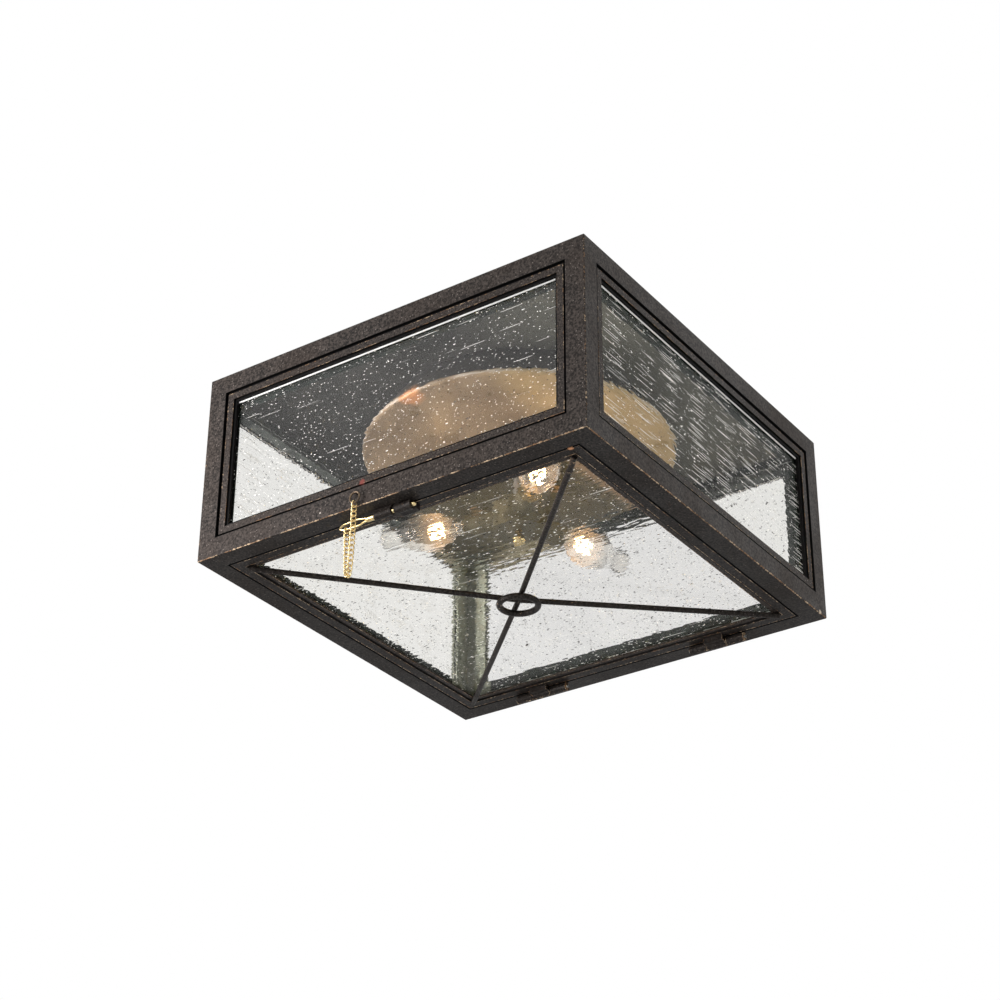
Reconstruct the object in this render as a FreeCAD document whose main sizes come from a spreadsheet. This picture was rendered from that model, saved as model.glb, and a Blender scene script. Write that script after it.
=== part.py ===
import FreeCAD, Part
import Sketcher
import math
import os
import re

os.makedirs("parts", exist_ok=True)
doc = FreeCAD.newDocument("FlushMountLight")

# Frame: origin at the centre of the ceiling face, +Z up, latch side towards -Y, hinge side towards +Y.
# Driving sizes in millimetres.
SIZES = {
    # Box of angle bars
    "box_width": 406.0,
    "box_height": 188.0,
    "bar_width": 19.0,
    "bar_wall": 3.0,
    "edge_round": 1.0,
    "roof_sheet": 1.2,
    "roof_margin": 0.3,
    # Window frames and side glass
    "frame_tuck": 3.5,
    "groove_width": 2.5,
    "bead_width": 6.5,
    "lip_width": 2.5,
    "bead_recess": 1.2,
    "frame_back": 3.0,
    "glass_sheet": 3.0,
    "glass_margin": 3.0,
    "stop_wall": 1.5,
    "stop_deep": 10.0,
    # Door glass clips
    "clip_wide": 12.0,
    "clip_reach": 7.0,
    "clip_sheet": 1.0,
    "door_clip_offset": 75.0,
    "door_clip_rise": 4.0,
    # Mounting strap and stem
    "strap_end": 4.55,
    "strap_wide": 20.0,
    "box_screw_spacing": 88.9,
    "slot_radius": 2.4,
    "slot_length": 14.0,
    "screw_access": 6.5,
    "stem_radius": 4.8,
    "stem_bore": 3.4,
    "thread_gap": 0.05,
    "nut_radius": 8.6,
    "nut_height": 4.0,
    # Reflector pan
    "pan_sheet": 1.0,
    "pan_flange": 88.0,
    "pan_top": 116.0,
    "pan_rim": 147.0,
    "pan_depth": 44.5,
    "pan_crown": 2.0,
    "pan_round": 3.0,
    "pan_clearance": 0.2,
    # Lamp cluster
    "lamp_level": 112.0,
    "hub_radius": 24.0,
    "hub_height": 24.0,
    "hub_wall": 2.0,
    "cover_sheet": 2.0,
    "finial_radius": 6.0,
    "finial_height": 9.0,
    "splice_radius": 6.0,
    "splice_height": 9.0,
    "lead_radius": 0.8,
    "lead_offset": 1.4,
    "lead_hole": 2.6,
    "socket_radius": 11.0,
    "socket_length": 26.0,
    "socket_depth": 20.0,
    "cap_radius": 5.9,
    "cap_length": 21.0,
    "cap_contact": 2.5,
    "cap_contact_height": 1.5,
    "bulb_radius": 17.8,
    "bulb_neck": 6.6,
    "bulb_length": 82.0,
    "bulb_wall": 0.8,
    "filament_place": 27.0,
    "filament_span": 6.0,
    "filament_wire": 0.5,
    "bulb_stem": 2.0,
    "bulb_stem_length": 17.0,
    # Door
    "door_gap": 1.5,
    "door_rail_width": 16.0,
    "door_flat": 10.0,
    "door_leg_height": 10.0,
    "door_leg_wall": 2.5,
    "door_glass_margin": 1.0,
    "rod_radius": 2.5,
    "rod_dip": 7.5,
    "ring_radius": 17.4,
    "ring_wire": 2.9,
    "weld_gap": 0.05,
    # Hinges
    "run_gap": 0.3,
    "hinge_spread": 98.0,
    "hinge_radius": 4.0,
    "hinge_outer": 18.0,
    "hinge_middle": 20.0,
    "hinge_gap": 0.4,
    "hinge_inset": 1.0,
    "hinge_pin": 1.6,
    "pin_clearance": 0.05,
    "hinge_pin_over": 1.5,
    "foot_reach": 6.5,
    # Latch
    "latch_fixed_radius": 3.6,
    "latch_fixed_length": 18.0,
    "latch_door_radius": 4.2,
    "latch_door_length": 17.0,
    "latch_door_start": 3.0,
    "latch_gap": 3.5,
    "latch_pin": 2.2,
    "latch_pin_over": 4.0,
    "latch_inset": 3.0,
    "latch_head": 2.6,
    "latch_head_length": 8.0,
    "saddle_wide": 2.5,
    "loop_reach": 30.0,
    "loop_half": 3.0,
    "loop_wire": 0.9,
    "loop_leg": 1.4,
    "loop_leg_depth": 3.0,
    # Chain
    "eye_place": 26.0,
    "eye_rise": 12.5,
    "eye_wire": 0.9,
    "eye_radius": 5.0,
    "eye_tail": 0.8,
    "eye_clearance": 0.2,
    "link_length": 7.1,
    "link_wide": 5.2,
    "link_wire": 0.6,
    "link_play": 0.3,
    # One overrun serves every cutting tool
    "cut_over": 1.0,
}

sheet = doc.addObject("Spreadsheet::Sheet", "Sizes")
for row, (alias, number) in enumerate(SIZES.items(), start=1):
    sheet.set("A%d" % row, alias)
    sheet.set("B%d" % row, str(number))
    sheet.setAlias("B%d" % row, alias)
doc.recompute()

pieces = {}
SIDES = ["front", "right", "back", "left"]
CORNERS = ["front_right", "back_right", "back_left", "front_left"]
LAMP_ANGLES = [76.0, 196.0, 316.0]
QUARTER = 90.0

X_AXIS = FreeCAD.Vector(1, 0, 0)
Y_AXIS = FreeCAD.Vector(0, 1, 0)
Z_AXIS = FreeCAD.Vector(0, 0, 1)


# Helpers: sheet values, bound expressions and simple solids
def mm(alias):
    return float(sheet.get(alias))


def bound(text):
    def with_sheet(match):
        word = match.group()
        return "Sizes." + word if word in SIZES else word
    return re.sub(r"[a-z_]+", with_sheet, text)


def bind(thing, prop, text):
    thing.setExpression(prop, bound(text))


def place(thing, x, y, z):
    bind(thing, "Placement.Base.x", x)
    bind(thing, "Placement.Base.y", y)
    bind(thing, "Placement.Base.z", z)


def span(low, high):
    return "(%s) - (%s)" % (high, low)


def box(name, x_range, y_range, z_range):
    block = doc.addObject("Part::Box", name)
    bind(block, "Length", span(*x_range))
    bind(block, "Width", span(*y_range))
    bind(block, "Height", span(*z_range))
    place(block, x_range[0], y_range[0], z_range[0])
    return block


def cylinder(name, radius, length, start, axis=Z_AXIS):
    rod = doc.addObject("Part::Cylinder", name)
    rod.Placement = FreeCAD.Placement(FreeCAD.Vector(), FreeCAD.Rotation(Z_AXIS, axis))
    bind(rod, "Radius", radius)
    bind(rod, "Height", length)
    place(rod, *start)
    return rod


def torus(name, ring_radius, wire_radius, centre, axis=Z_AXIS):
    ring = doc.addObject("Part::Torus", name)
    ring.Placement = FreeCAD.Placement(FreeCAD.Vector(), FreeCAD.Rotation(Z_AXIS, axis))
    bind(ring, "Radius1", ring_radius)
    bind(ring, "Radius2", wire_radius)
    place(ring, *centre)
    return ring


def ball(name, radius, centre):
    sphere = doc.addObject("Part::Sphere", name)
    bind(sphere, "Radius", radius)
    place(sphere, *centre)
    return sphere


def cut(name, base, tool):
    result = doc.addObject("Part::Cut", name)
    result.Base = base
    result.Tool = tool
    return result


def fuse(name, *shapes):
    result = doc.addObject("Part::MultiFuse", name)
    result.Shapes = list(shapes)
    result.Refine = True
    return result


def group(name, *shapes):
    result = doc.addObject("Part::Compound", name)
    result.Links = list(shapes)
    return result


def piece(thing, label, turn=0.0):
    thing.Label = label
    if turn:
        thing.Placement = FreeCAD.Placement(FreeCAD.Vector(), FreeCAD.Rotation(Z_AXIS, turn))
    pieces[label] = thing
    return thing


def outline(body, name, role, points, lift=None):
    sketch = body.newObject("Sketcher::SketchObject", name)
    plane = [face for face in body.Origin.OriginFeatures if face.Role == role][0]
    sketch.AttachmentSupport = (plane, "")
    sketch.MapMode = "FlatFace"
    if lift:
        bind(sketch, "AttachmentOffset.Base.z", lift)
    count = len(points)
    rough = []
    for index in range(count):
        angle = 2 * math.pi * index / count
        rough.append(FreeCAD.Vector(math.cos(angle), math.sin(angle), 0))
    for index in range(count):
        sketch.addGeometry(Part.LineSegment(rough[index], rough[(index + 1) % count]), False)
    for index in range(count):
        sketch.addConstraint(Sketcher.Constraint("Coincident", index, 2, (index + 1) % count, 1))
    for index, (across, along) in enumerate(points):
        spot = rough[index]
        for kind, text, guess in (("DistanceX", across, spot.x), ("DistanceY", along, spot.y)):
            order = sketch.addConstraint(Sketcher.Constraint(kind, -1, 1, index, 1, guess))
            bind(sketch, "Constraints[%d]" % order, text)
    return sketch


def pad(body, name, sketch, length, side="One side", downward=False):
    block = body.newObject("PartDesign::Pad", name)
    block.Profile = sketch
    block.SideType = side
    block.Reversed = downward
    bind(block, "Length", length)
    return block


def round_edges(body, name, radius, wanted):
    doc.recompute()
    base = body.Tip
    names = []
    for number, edge in enumerate(base.Shape.Edges, start=1):
        if wanted(edge):
            names.append("Edge%d" % number)
    rounding = body.newObject("PartDesign::Fillet", name)
    rounding.Base = (base, names)
    bind(rounding, "Radius", radius)
    return rounding


def near(first, second):
    return math.isclose(first, second, abs_tol=mm("weld_gap"))


HALF = "box_width / 2"
FLOOR = "-box_height"
DOOR_HALF = f"{HALF} - bar_width - door_gap"
FRAME_INSET = "bar_width - frame_tuck"
BEAD_INSET = "bar_width + groove_width"
LIP_INSET = f"{BEAD_INSET} + bead_width"
CLEAR_INSET = f"{LIP_INSET} + lip_width"
GLASS_INSET = f"{FRAME_INSET} + glass_margin"
FRAME_DEEP = "bar_wall + frame_back"
GLASS_DEEP = f"{FRAME_DEEP} + glass_sheet"
ROOF_UNDER = "-bar_wall - roof_sheet"
half = mm("box_width") / 2
floor = -mm("box_height")


# Corner posts: an angle bar with a square plate at each end
def corner_post(label, turn):
    body = doc.addObject("PartDesign::Body", "CornerPost")
    outer = (HALF, f"-{HALF}")
    legs = outline(body, "PostLegs", "XY_Plane", [
        outer,
        (HALF, f"-{HALF} + bar_width"),
        (f"{HALF} - bar_wall", f"-{HALF} + bar_width"),
        (f"{HALF} - bar_wall", f"-{HALF} + bar_wall"),
        (f"{HALF} - bar_width", f"-{HALF} + bar_wall"),
        (f"{HALF} - bar_width", f"-{HALF}"),
    ])
    pad(body, "PostPad", legs, "box_height", downward=True)
    square = [
        outer,
        (HALF, f"-{HALF} + bar_width"),
        (f"{HALF} - bar_width", f"-{HALF} + bar_width"),
        (f"{HALF} - bar_width", f"-{HALF}"),
    ]
    pad(body, "TopPlate", outline(body, "TopSquare", "XY_Plane", square), "bar_wall", downward=True)
    pad(body, "FloorPlate", outline(body, "FloorSquare", "XY_Plane", square, FLOOR), "bar_wall")

    def outside(edge):
        centre = edge.CenterOfMass
        on_right = near(centre.x, half)
        on_front = near(centre.y, -half)
        on_end = near(centre.z, 0) or near(centre.z, floor)
        return (on_right and on_front) or (on_end and (on_right or on_front))

    round_edges(body, "PostRound", "edge_round", outside)
    return piece(body, label, turn)


# Rails: angle bars between the posts
def rail(label, turn, top):
    body = doc.addObject("PartDesign::Body", "Rail")
    level = "0" if top else FLOOR
    inward = "-" if top else "+"
    height = 0 if top else floor
    legs = outline(body, "RailLegs", "YZ_Plane", [
        (f"-{HALF}", level),
        (f"-{HALF} + bar_width", level),
        (f"-{HALF} + bar_width", f"{level} {inward} bar_wall"),
        (f"-{HALF} + bar_wall", f"{level} {inward} bar_wall"),
        (f"-{HALF} + bar_wall", f"{level} {inward} bar_width"),
        (f"-{HALF}", f"{level} {inward} bar_width"),
    ])
    pad(body, "RailPad", legs, "box_width - 2 * bar_width", side="Symmetric")

    def outside(edge):
        centre = edge.CenterOfMass
        return near(centre.y, -half) and near(centre.z, height) and near(centre.x, 0)

    round_edges(body, "RailRound", "edge_round", outside)
    if label == "bottom_rail_front":
        hole = cylinder("EyeHole", "eye_tail + eye_clearance", "bar_wall + 2 * cut_over",
                        ("-eye_place", f"-{HALF} - cut_over", f"{FLOOR} + eye_rise"), Y_AXIS)
        body = cut("RailWithEyeHole", body, hole)
    return piece(body, label, turn)


# Window frames, side glass and the stops that hold it
def panel(name, inset, near_depth, far_depth):
    return box(name, (f"-{HALF} + {inset}", f"{HALF} - ({inset})"),
               (f"-{HALF} + {near_depth}", f"-{HALF} + {far_depth}"),
               (f"{FLOOR} + {inset}", f"-({inset})"))


def window_frame(label, turn):
    flange = panel("FrameFlange", FRAME_INSET, "bar_wall", FRAME_DEEP)
    opening = panel("FrameOpening", CLEAR_INSET, "0", f"{FRAME_DEEP} + cut_over")
    bead = panel("FrameBead", BEAD_INSET, "bead_recess", "bar_wall")
    bead_hole = panel("BeadHole", LIP_INSET, "0", FRAME_DEEP)
    ring = fuse("FrameRing", cut("FlangeRing", flange, opening), cut("BeadRing", bead, bead_hole))
    return piece(ring, label, turn)


def window_glass(label, turn):
    pane = panel("SideGlass", GLASS_INSET, FRAME_DEEP, GLASS_DEEP)
    return piece(group("SidePane", pane), label, turn)


def window_stops():
    sides = []
    reach = f"{HALF} - ({CLEAR_INSET})"
    seat = f"{GLASS_DEEP} + stop_wall"
    for index in range(len(SIDES)):
        flange = panel("StopFlange", GLASS_INSET, GLASS_DEEP, seat)
        opening = panel("StopOpening", CLEAR_INSET, f"{GLASS_DEEP} - cut_over", f"{seat} + cut_over")
        leg = box("StopLeg", (f"-({reach})", reach),
                  (f"-{HALF} + {GLASS_DEEP}", f"-{HALF} + {GLASS_DEEP} + stop_deep"),
                  (f"-({CLEAR_INSET})", f"-({CLEAR_INSET}) + stop_wall"))
        stop = group("StopOfSide", fuse("StopBar", cut("StopRing", flange, opening), leg))
        stop.Placement = FreeCAD.Placement(FreeCAD.Vector(), FreeCAD.Rotation(Z_AXIS, QUARTER * index))
        sides.append(stop)
    return piece(group("Stops", *sides), "window_stops")


# Roof sheet with its holes, mounting strap, stem and nuts
def roof():
    reach = f"{HALF} - bar_wall - roof_margin"
    plate = box("RoofPlate", (f"-({reach})", reach), (f"-({reach})", reach), (ROOF_UNDER, "-bar_wall"))
    through = "roof_sheet + 2 * cut_over"
    start = f"{ROOF_UNDER} - cut_over"
    holes = fuse("RoofHoles",
                 cylinder("StemHole", "stem_radius + thread_gap", through, ("0", "0", start)),
                 cylinder("LeftAccess", "screw_access", through, ("-box_screw_spacing / 2", "0", start)),
                 cylinder("RightAccess", "screw_access", through, ("box_screw_spacing / 2", "0", start)))
    return piece(cut("Roof", plate, holes), "roof_plate")


def strap():
    reach = "(box_screw_spacing + slot_length) / 2 + strap_end"
    bar = box("StrapBar", (f"-({reach})", reach), ("-strap_wide / 2", "strap_wide / 2"), ("-bar_wall", "0"))
    tools = [cylinder("StrapHole", "stem_radius + thread_gap", "bar_wall + 2 * cut_over",
                      ("0", "0", "-bar_wall - cut_over"))]
    heights = ("-bar_wall - cut_over", "cut_over")
    straight = "slot_length / 2 - slot_radius"
    for sign in ("-", ""):
        middle = f"{sign}box_screw_spacing / 2"
        tools.append(box("SlotMiddle", (f"{middle} - ({straight})", f"{middle} + {straight}"),
                         ("-slot_radius", "slot_radius"), heights))
        for end in (f"{middle} - ({straight})", f"{middle} + {straight}"):
            tools.append(cylinder("SlotEnd", "slot_radius", "bar_wall + 2 * cut_over",
                                  (end, "0", "-bar_wall - cut_over")))
    return piece(cut("Strap", bar, fuse("StrapTools", *tools)), "mounting_strap")


HUB_TOP = "-lamp_level + hub_height / 2"
HUB_FLOOR = "-lamp_level - hub_height / 2"
PAN_FLOOR = f"{ROOF_UNDER} - pan_depth - pan_crown"


def stem():
    low = f"{HUB_TOP} - hub_wall"
    tube = cylinder("StemTube", "stem_radius", f"-({low})", ("0", "0", low))
    bore = cylinder("StemBore", "stem_bore", f"-({low}) + 2 * cut_over", ("0", "0", f"{low} - cut_over"))
    return piece(cut("Stem", tube, bore), "stem_tube")


def nut(level):
    hexagon = doc.addObject("Part::Prism", "NutHexagon")
    hexagon.Polygon = 6
    bind(hexagon, "Circumradius", "nut_radius")
    bind(hexagon, "Height", "nut_height")
    place(hexagon, "0", "0", level)
    hole = cylinder("NutHole", "stem_radius + thread_gap", "nut_height + 2 * cut_over",
                    ("0", "0", f"{level} - cut_over"))
    return cut("Nut", hexagon, hole)


def stem_nuts():
    under_roof = nut(f"{ROOF_UNDER} - nut_height")
    under_pan = nut(f"{PAN_FLOOR} - nut_height")
    over_hub = nut(HUB_TOP)
    return piece(group("StemNuts", under_roof, under_pan, over_hub), "stem_nuts")


# Reflector pan: a spun sheet dish, closed below
def reflector_pan():
    body = doc.addObject("PartDesign::Body", "Pan")
    hole = "stem_radius + pan_clearance"
    rim_level = f"{ROOF_UNDER} - pan_depth"
    profile = outline(body, "PanProfile", "XZ_Plane", [
        ("pan_flange", ROOF_UNDER),
        ("pan_top", ROOF_UNDER),
        ("pan_rim", rim_level),
        (hole, PAN_FLOOR),
        (hole, f"{PAN_FLOOR} + pan_sheet"),
        ("pan_rim - 2 * pan_sheet", f"{rim_level} + pan_sheet"),
        ("pan_top - pan_sheet", f"{ROOF_UNDER} - pan_sheet"),
        ("pan_flange", f"{ROOF_UNDER} - pan_sheet"),
    ])
    spun = body.newObject("PartDesign::Revolution", "PanSpin")
    spun.Profile = profile
    spun.ReferenceAxis = (profile, ["V_Axis"])
    spun.Angle = 4 * QUARTER
    rim = mm("pan_rim")
    inner = rim - 2 * mm("pan_sheet")
    round_edges(body, "RimOutside", "pan_round", lambda edge: near(edge.BoundBox.XMax, rim) and edge.Closed)
    round_edges(body, "RimInside", "pan_round - pan_sheet",
                lambda edge: near(edge.BoundBox.XMax, inner) and edge.Closed)
    return piece(body, "reflector_pan")


# Lamp cluster: hub, cover, finial, leads, sockets and bulbs
def hub():
    shell = cylinder("HubShell", "hub_radius", "hub_height", ("0", "0", HUB_FLOOR))
    hollow = cylinder("HubHollow", "hub_radius - hub_wall", "hub_height - hub_wall + cut_over",
                      ("0", "0", f"{HUB_FLOOR} - cut_over"))
    hole = cylinder("HubHole", "stem_radius + thread_gap", "hub_wall + 2 * cut_over",
                    ("0", "0", f"{HUB_TOP} - hub_wall - cut_over"))
    tools = [hollow, hole]
    for angle in LAMP_ANGLES:
        drill = cylinder("LeadHole", "lead_hole", "hub_radius + cut_over", ("0", "0", "-lamp_level"),
                         FreeCAD.Rotation(Z_AXIS, angle).multVec(X_AXIS))
        tools.append(drill)
    return piece(cut("Hub", shell, fuse("HubTools", *tools)), "lamp_hub")


def hub_cover():
    disc = cylinder("CoverDisc", "hub_radius", "cover_sheet", ("0", "0", f"{HUB_FLOOR} - cover_sheet"))
    return piece(disc, "hub_cover")


def finial():
    top = f"{HUB_FLOOR} - cover_sheet"
    neck = cylinder("FinialNeck", "finial_radius / 2", "finial_height - finial_radius",
                    ("0", "0", f"{top} - finial_height + finial_radius"))
    knob = ball("FinialKnob", "finial_radius", ("0", "0", f"{top} - finial_height"))
    return piece(fuse("Finial", neck, knob), "hub_finial")


def lead_wires():
    splice_top = "-lamp_level + splice_height / 2"
    splice_low = "-lamp_level - splice_height / 2"
    parts = [cylinder("Splice", "splice_radius", "splice_height", ("0", "0", splice_low))]
    for sign in ("-", ""):
        parts.append(cylinder("StemLead", "lead_radius", f"-({splice_top}) - cut_over",
                              (f"{sign}lead_offset", "0", splice_top)))
    for angle in LAMP_ANGLES:
        outward = FreeCAD.Rotation(Z_AXIS, angle).multVec(X_AXIS)
        for sign in ("-", "+"):
            parts.append(cylinder("SocketLead", "lead_radius", "hub_radius + socket_length - socket_depth",
                                  ("0", "0", f"-lamp_level {sign} lead_offset"), outward))
    return piece(fuse("Leads", *parts), "lead_wires")


SOCKET_FLOOR = "hub_radius + socket_length - socket_depth"
CAP_START = f"{SOCKET_FLOOR} + cap_contact_height"
GLASS_START = f"{CAP_START} + cap_length"


def socket(label, turn):
    barrel = cylinder("SocketBarrel", "socket_radius", "hub_radius / 2 + socket_length",
                      ("hub_radius / 2", "0", "-lamp_level"), X_AXIS)
    tools = fuse("SocketTools",
                 cylinder("SocketSeat", "hub_radius", "hub_height", ("0", "0", HUB_FLOOR)),
                 cylinder("SocketBore", "cap_radius + thread_gap", "socket_depth + cut_over",
                          (SOCKET_FLOOR, "0", "-lamp_level"), X_AXIS),
                 cylinder("SocketLeadHole", "lead_hole", SOCKET_FLOOR,
                          ("cut_over", "0", "-lamp_level"), X_AXIS))
    return piece(cut("Socket", barrel, tools), label, turn)


def bulb_cap(label, turn):
    sleeve = cylinder("CapSleeve", "cap_radius", "cap_length", (CAP_START, "0", "-lamp_level"), X_AXIS)
    contact = cylinder("CapContact", "cap_contact", "cap_contact_height + cap_contact",
                       (SOCKET_FLOOR, "0", "-lamp_level"), X_AXIS)
    return piece(fuse("Cap", sleeve, contact), label, turn)


# Outline of the candle bulb as shares of its length and of its radius
BULB_SHARES = [(0.10, 0.44), (0.24, 0.82), (0.42, 1.0), (0.62, 0.86), (0.82, 0.50)]


def bulb_line(neck, radius, length):
    points = [FreeCAD.Vector(0, neck, 0)]
    for along_share, radius_share in BULB_SHARES:
        points.append(FreeCAD.Vector(along_share * length, radius_share * radius, 0))
    points.append(FreeCAD.Vector(length, 0, 0))
    curve = Part.BSplineCurve()
    curve.interpolate(Points=points, InitialTangent=X_AXIS, FinalTangent=-Y_AXIS)
    return curve.toShape()


def bulb_glass(label, turn):
    wall = mm("bulb_wall")
    neck = mm("bulb_neck")
    length = mm("bulb_length")
    outside = bulb_line(neck, mm("bulb_radius"), length)
    inside = bulb_line(neck - wall, mm("bulb_radius") - wall, length - wall)
    tip = Part.makeLine(FreeCAD.Vector(length, 0, 0), FreeCAD.Vector(length - wall, 0, 0))
    mouth = Part.makeLine(FreeCAD.Vector(0, neck - wall, 0), FreeCAD.Vector(0, neck, 0))
    face = Part.Face(Part.Wire(Part.__sortEdges__([outside, tip, inside, mouth])))
    glass = doc.addObject("Part::Feature", "BulbGlass")
    glass.Shape = face.revolve(FreeCAD.Vector(), X_AXIS, 4 * QUARTER)
    socket_floor = mm("hub_radius") + mm("socket_length") - mm("socket_depth")
    start = socket_floor + mm("cap_contact_height") + mm("cap_length")
    spin = FreeCAD.Rotation(Z_AXIS, turn)
    glass.Placement = FreeCAD.Placement(spin.multVec(FreeCAD.Vector(start, 0, -mm("lamp_level"))), spin)
    glass.Label = label
    pieces[label] = glass
    return glass


def bulb_filament(label, turn):
    mount = cylinder("BulbStem", "bulb_stem", "bulb_stem_length", (GLASS_START, "0", "-lamp_level"), X_AXIS)
    reach = "filament_place - bulb_stem_length + 2 * filament_wire"
    posts = []
    for sign in ("-", ""):
        posts.append(cylinder("FilamentPost", "filament_wire", reach,
                              (f"{GLASS_START} + bulb_stem_length - filament_wire",
                               f"{sign}bulb_stem / 2", "-lamp_level"), X_AXIS))
    wire = cylinder("FilamentWire", "filament_wire", "2 * filament_span",
                    (f"{GLASS_START} + filament_place", "-filament_span", "-lamp_level"), Y_AXIS)
    return piece(fuse("Filament", mount, wire, *posts), label, turn)


# Door rails: stepped angle, mitred at the corners
def door_rail(label, turn):
    body = doc.addObject("PartDesign::Body", "DoorRailBar")
    outer = f"-({DOOR_HALF})"
    profile = outline(body, "DoorRailProfile", "YZ_Plane", [
        (outer, FLOOR),
        (f"{outer} + door_flat", FLOOR),
        (f"{outer} + door_flat", f"{FLOOR} + bead_recess"),
        (f"{outer} + door_rail_width", f"{FLOOR} + bead_recess"),
        (f"{outer} + door_rail_width", f"{FLOOR} + bar_wall"),
        (f"{outer} + door_leg_wall", f"{FLOOR} + bar_wall"),
        (f"{outer} + door_leg_wall", f"{FLOOR} + door_leg_height"),
        (outer, f"{FLOOR} + door_leg_height"),
    ])
    pad(body, "DoorRailPad", profile, f"2 * ({DOOR_HALF})", side="Symmetric")
    mitre = doc.addObject("Part::Wedge", "DoorRailMitre")
    bind(mitre, "Ymin", outer)
    bind(mitre, "Ymax", f"{outer} + door_rail_width")
    bind(mitre, "Xmin", outer)
    bind(mitre, "Xmax", DOOR_HALF)
    bind(mitre, "X2min", f"{outer} + door_rail_width")
    bind(mitre, "X2max", f"{DOOR_HALF} - door_rail_width")
    for prop in ("Zmin", "Z2min"):
        bind(mitre, prop, f"{FLOOR} - cut_over")
    for prop in ("Zmax", "Z2max"):
        bind(mitre, prop, f"{FLOOR} + door_leg_height + cut_over")
    common = doc.addObject("Part::MultiCommon", "DoorRail")
    common.Shapes = [body, mitre]
    return piece(common, label, turn)


def door_glass():
    reach = f"{DOOR_HALF} - door_leg_wall - door_glass_margin"
    pane = box("DoorGlass", (f"-({reach})", reach), (f"-({reach})", reach),
               (f"{FLOOR} + bar_wall", f"{FLOOR} + bar_wall + glass_sheet"))
    return piece(pane, "door_glass")


def door_clips():
    leg = f"-({DOOR_HALF}) + door_leg_wall"
    seat = f"{FLOOR} + bar_wall + glass_sheet"
    sides = []
    for index in range(len(SIDES)):
        clips = []
        for middle in ("-door_clip_offset", "door_clip_offset"):
            across = (f"{middle} - clip_wide / 2", f"{middle} + clip_wide / 2")
            foot = box("DoorClipFoot", across, (leg, f"{leg} + clip_sheet"),
                       (seat, f"{seat} + door_clip_rise"))
            tab = box("DoorClipTab", across, (leg, f"{leg} + clip_reach"), (seat, f"{seat} + clip_sheet"))
            clips.append(fuse("DoorClip", foot, tab))
        side = group("DoorClipsOfSide", *clips)
        side.Placement = FreeCAD.Placement(FreeCAD.Vector(), FreeCAD.Rotation(Z_AXIS, QUARTER * index))
        sides.append(side)
    return piece(group("DoorClips", *sides), "door_glass_clips")


# Brace: round rods along the diagonals, dipping to a ring below their crossing
ROD_OUT = f"(sqrt(2) * ({DOOR_HALF} - door_flat) - rod_radius)"
ROD_END = f"{FLOOR} + bead_recess - rod_radius - weld_gap"
ROD_CROSS = f"{ROD_END} - rod_dip"


def brace_rod(x_sign, y_sign):
    door_half = half - mm("bar_width") - mm("door_gap")
    out = math.sqrt(2) * (door_half - mm("door_flat")) - mm("rod_radius")
    side = out / math.sqrt(2)
    course = FreeCAD.Vector(x_sign * side, y_sign * side, mm("rod_dip"))
    return cylinder("BraceRod", "rod_radius", f"sqrt({ROD_OUT} * {ROD_OUT} + rod_dip * rod_dip)",
                    ("0", "0", ROD_CROSS), course)


def brace():
    joint = ball("BraceJoint", "rod_radius", ("0", "0", ROD_CROSS))
    through = fuse("BraceThrough", brace_rod(-1, -1), joint, brace_rod(1, 1))
    piece(through, "brace_rod_through")
    halves = [cut("BraceHalf", brace_rod(1, -1), through), cut("BraceHalf", brace_rod(-1, 1), through)]
    piece(group("BraceHalves", *halves), "brace_rod_halves")
    level = f"{ROD_CROSS} - rod_radius + rod_dip * ring_radius / {ROD_OUT} - ring_wire - weld_gap"
    piece(torus("BraceRing", "ring_radius", "ring_wire", ("0", "0", level)), "brace_ring")


# Hinges: three knuckles each, on a pin along X under the back flange
HINGE_Y = f"{HALF} - bar_width + hinge_inset"
HINGE_Z = f"{FLOOR} - run_gap - hinge_radius"


def tube_on_block(name, ends, radius, bore, centre, block_y, block_z):
    low, high = ends
    length = span(low, high)
    tube = cylinder(name + "Tube", radius, length, (low, *centre), X_AXIS)
    block = box(name + "Block", (low, high), block_y, block_z)
    hole = cylinder(name + "Bore", bore, f"{length} + 2 * cut_over", (f"{low} - cut_over", *centre), X_AXIS)
    return cut(name, fuse(name + "Body", tube, block), hole)


def hinges():
    bore = "hinge_pin + pin_clearance"
    centre = (HINGE_Y, HINGE_Z)
    fixed = []
    moving = []
    pins = []
    reach = "hinge_middle / 2 + hinge_gap + hinge_outer"
    for place_x in ("-hinge_spread", "hinge_spread"):
        start = f"{place_x} - hinge_middle / 2"
        end = f"{place_x} + hinge_middle / 2"
        saddle_y = (f"{HALF} - bar_width + run_gap", f"{HINGE_Y} + saddle_wide")
        for ends in ((f"{start} - hinge_gap - hinge_outer", f"{start} - hinge_gap"),
                     (f"{end} + hinge_gap", f"{end} + hinge_gap + hinge_outer")):
            fixed.append(tube_on_block("FixedKnuckle", ends, "hinge_radius", bore, centre,
                                       saddle_y, (HINGE_Z, FLOOR)))
        foot_y = (f"{DOOR_HALF} - foot_reach", f"{DOOR_HALF} - run_gap")
        moving.append(tube_on_block("DoorKnuckle", (start, end), "hinge_radius", bore, centre,
                                    foot_y, (f"{HINGE_Z} - hinge_radius / 4", FLOOR)))
        pins.append(cylinder("HingePin", "hinge_pin", f"2 * ({reach} + hinge_pin_over)",
                             (f"{place_x} - ({reach}) - hinge_pin_over", *centre), X_AXIS))
    piece(group("FixedKnuckles", *fixed), "hinge_knuckles_fixed")
    piece(group("DoorKnuckles", *moving), "hinge_knuckles_door")
    piece(group("HingePins", *pins), "hinge_pins")


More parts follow.
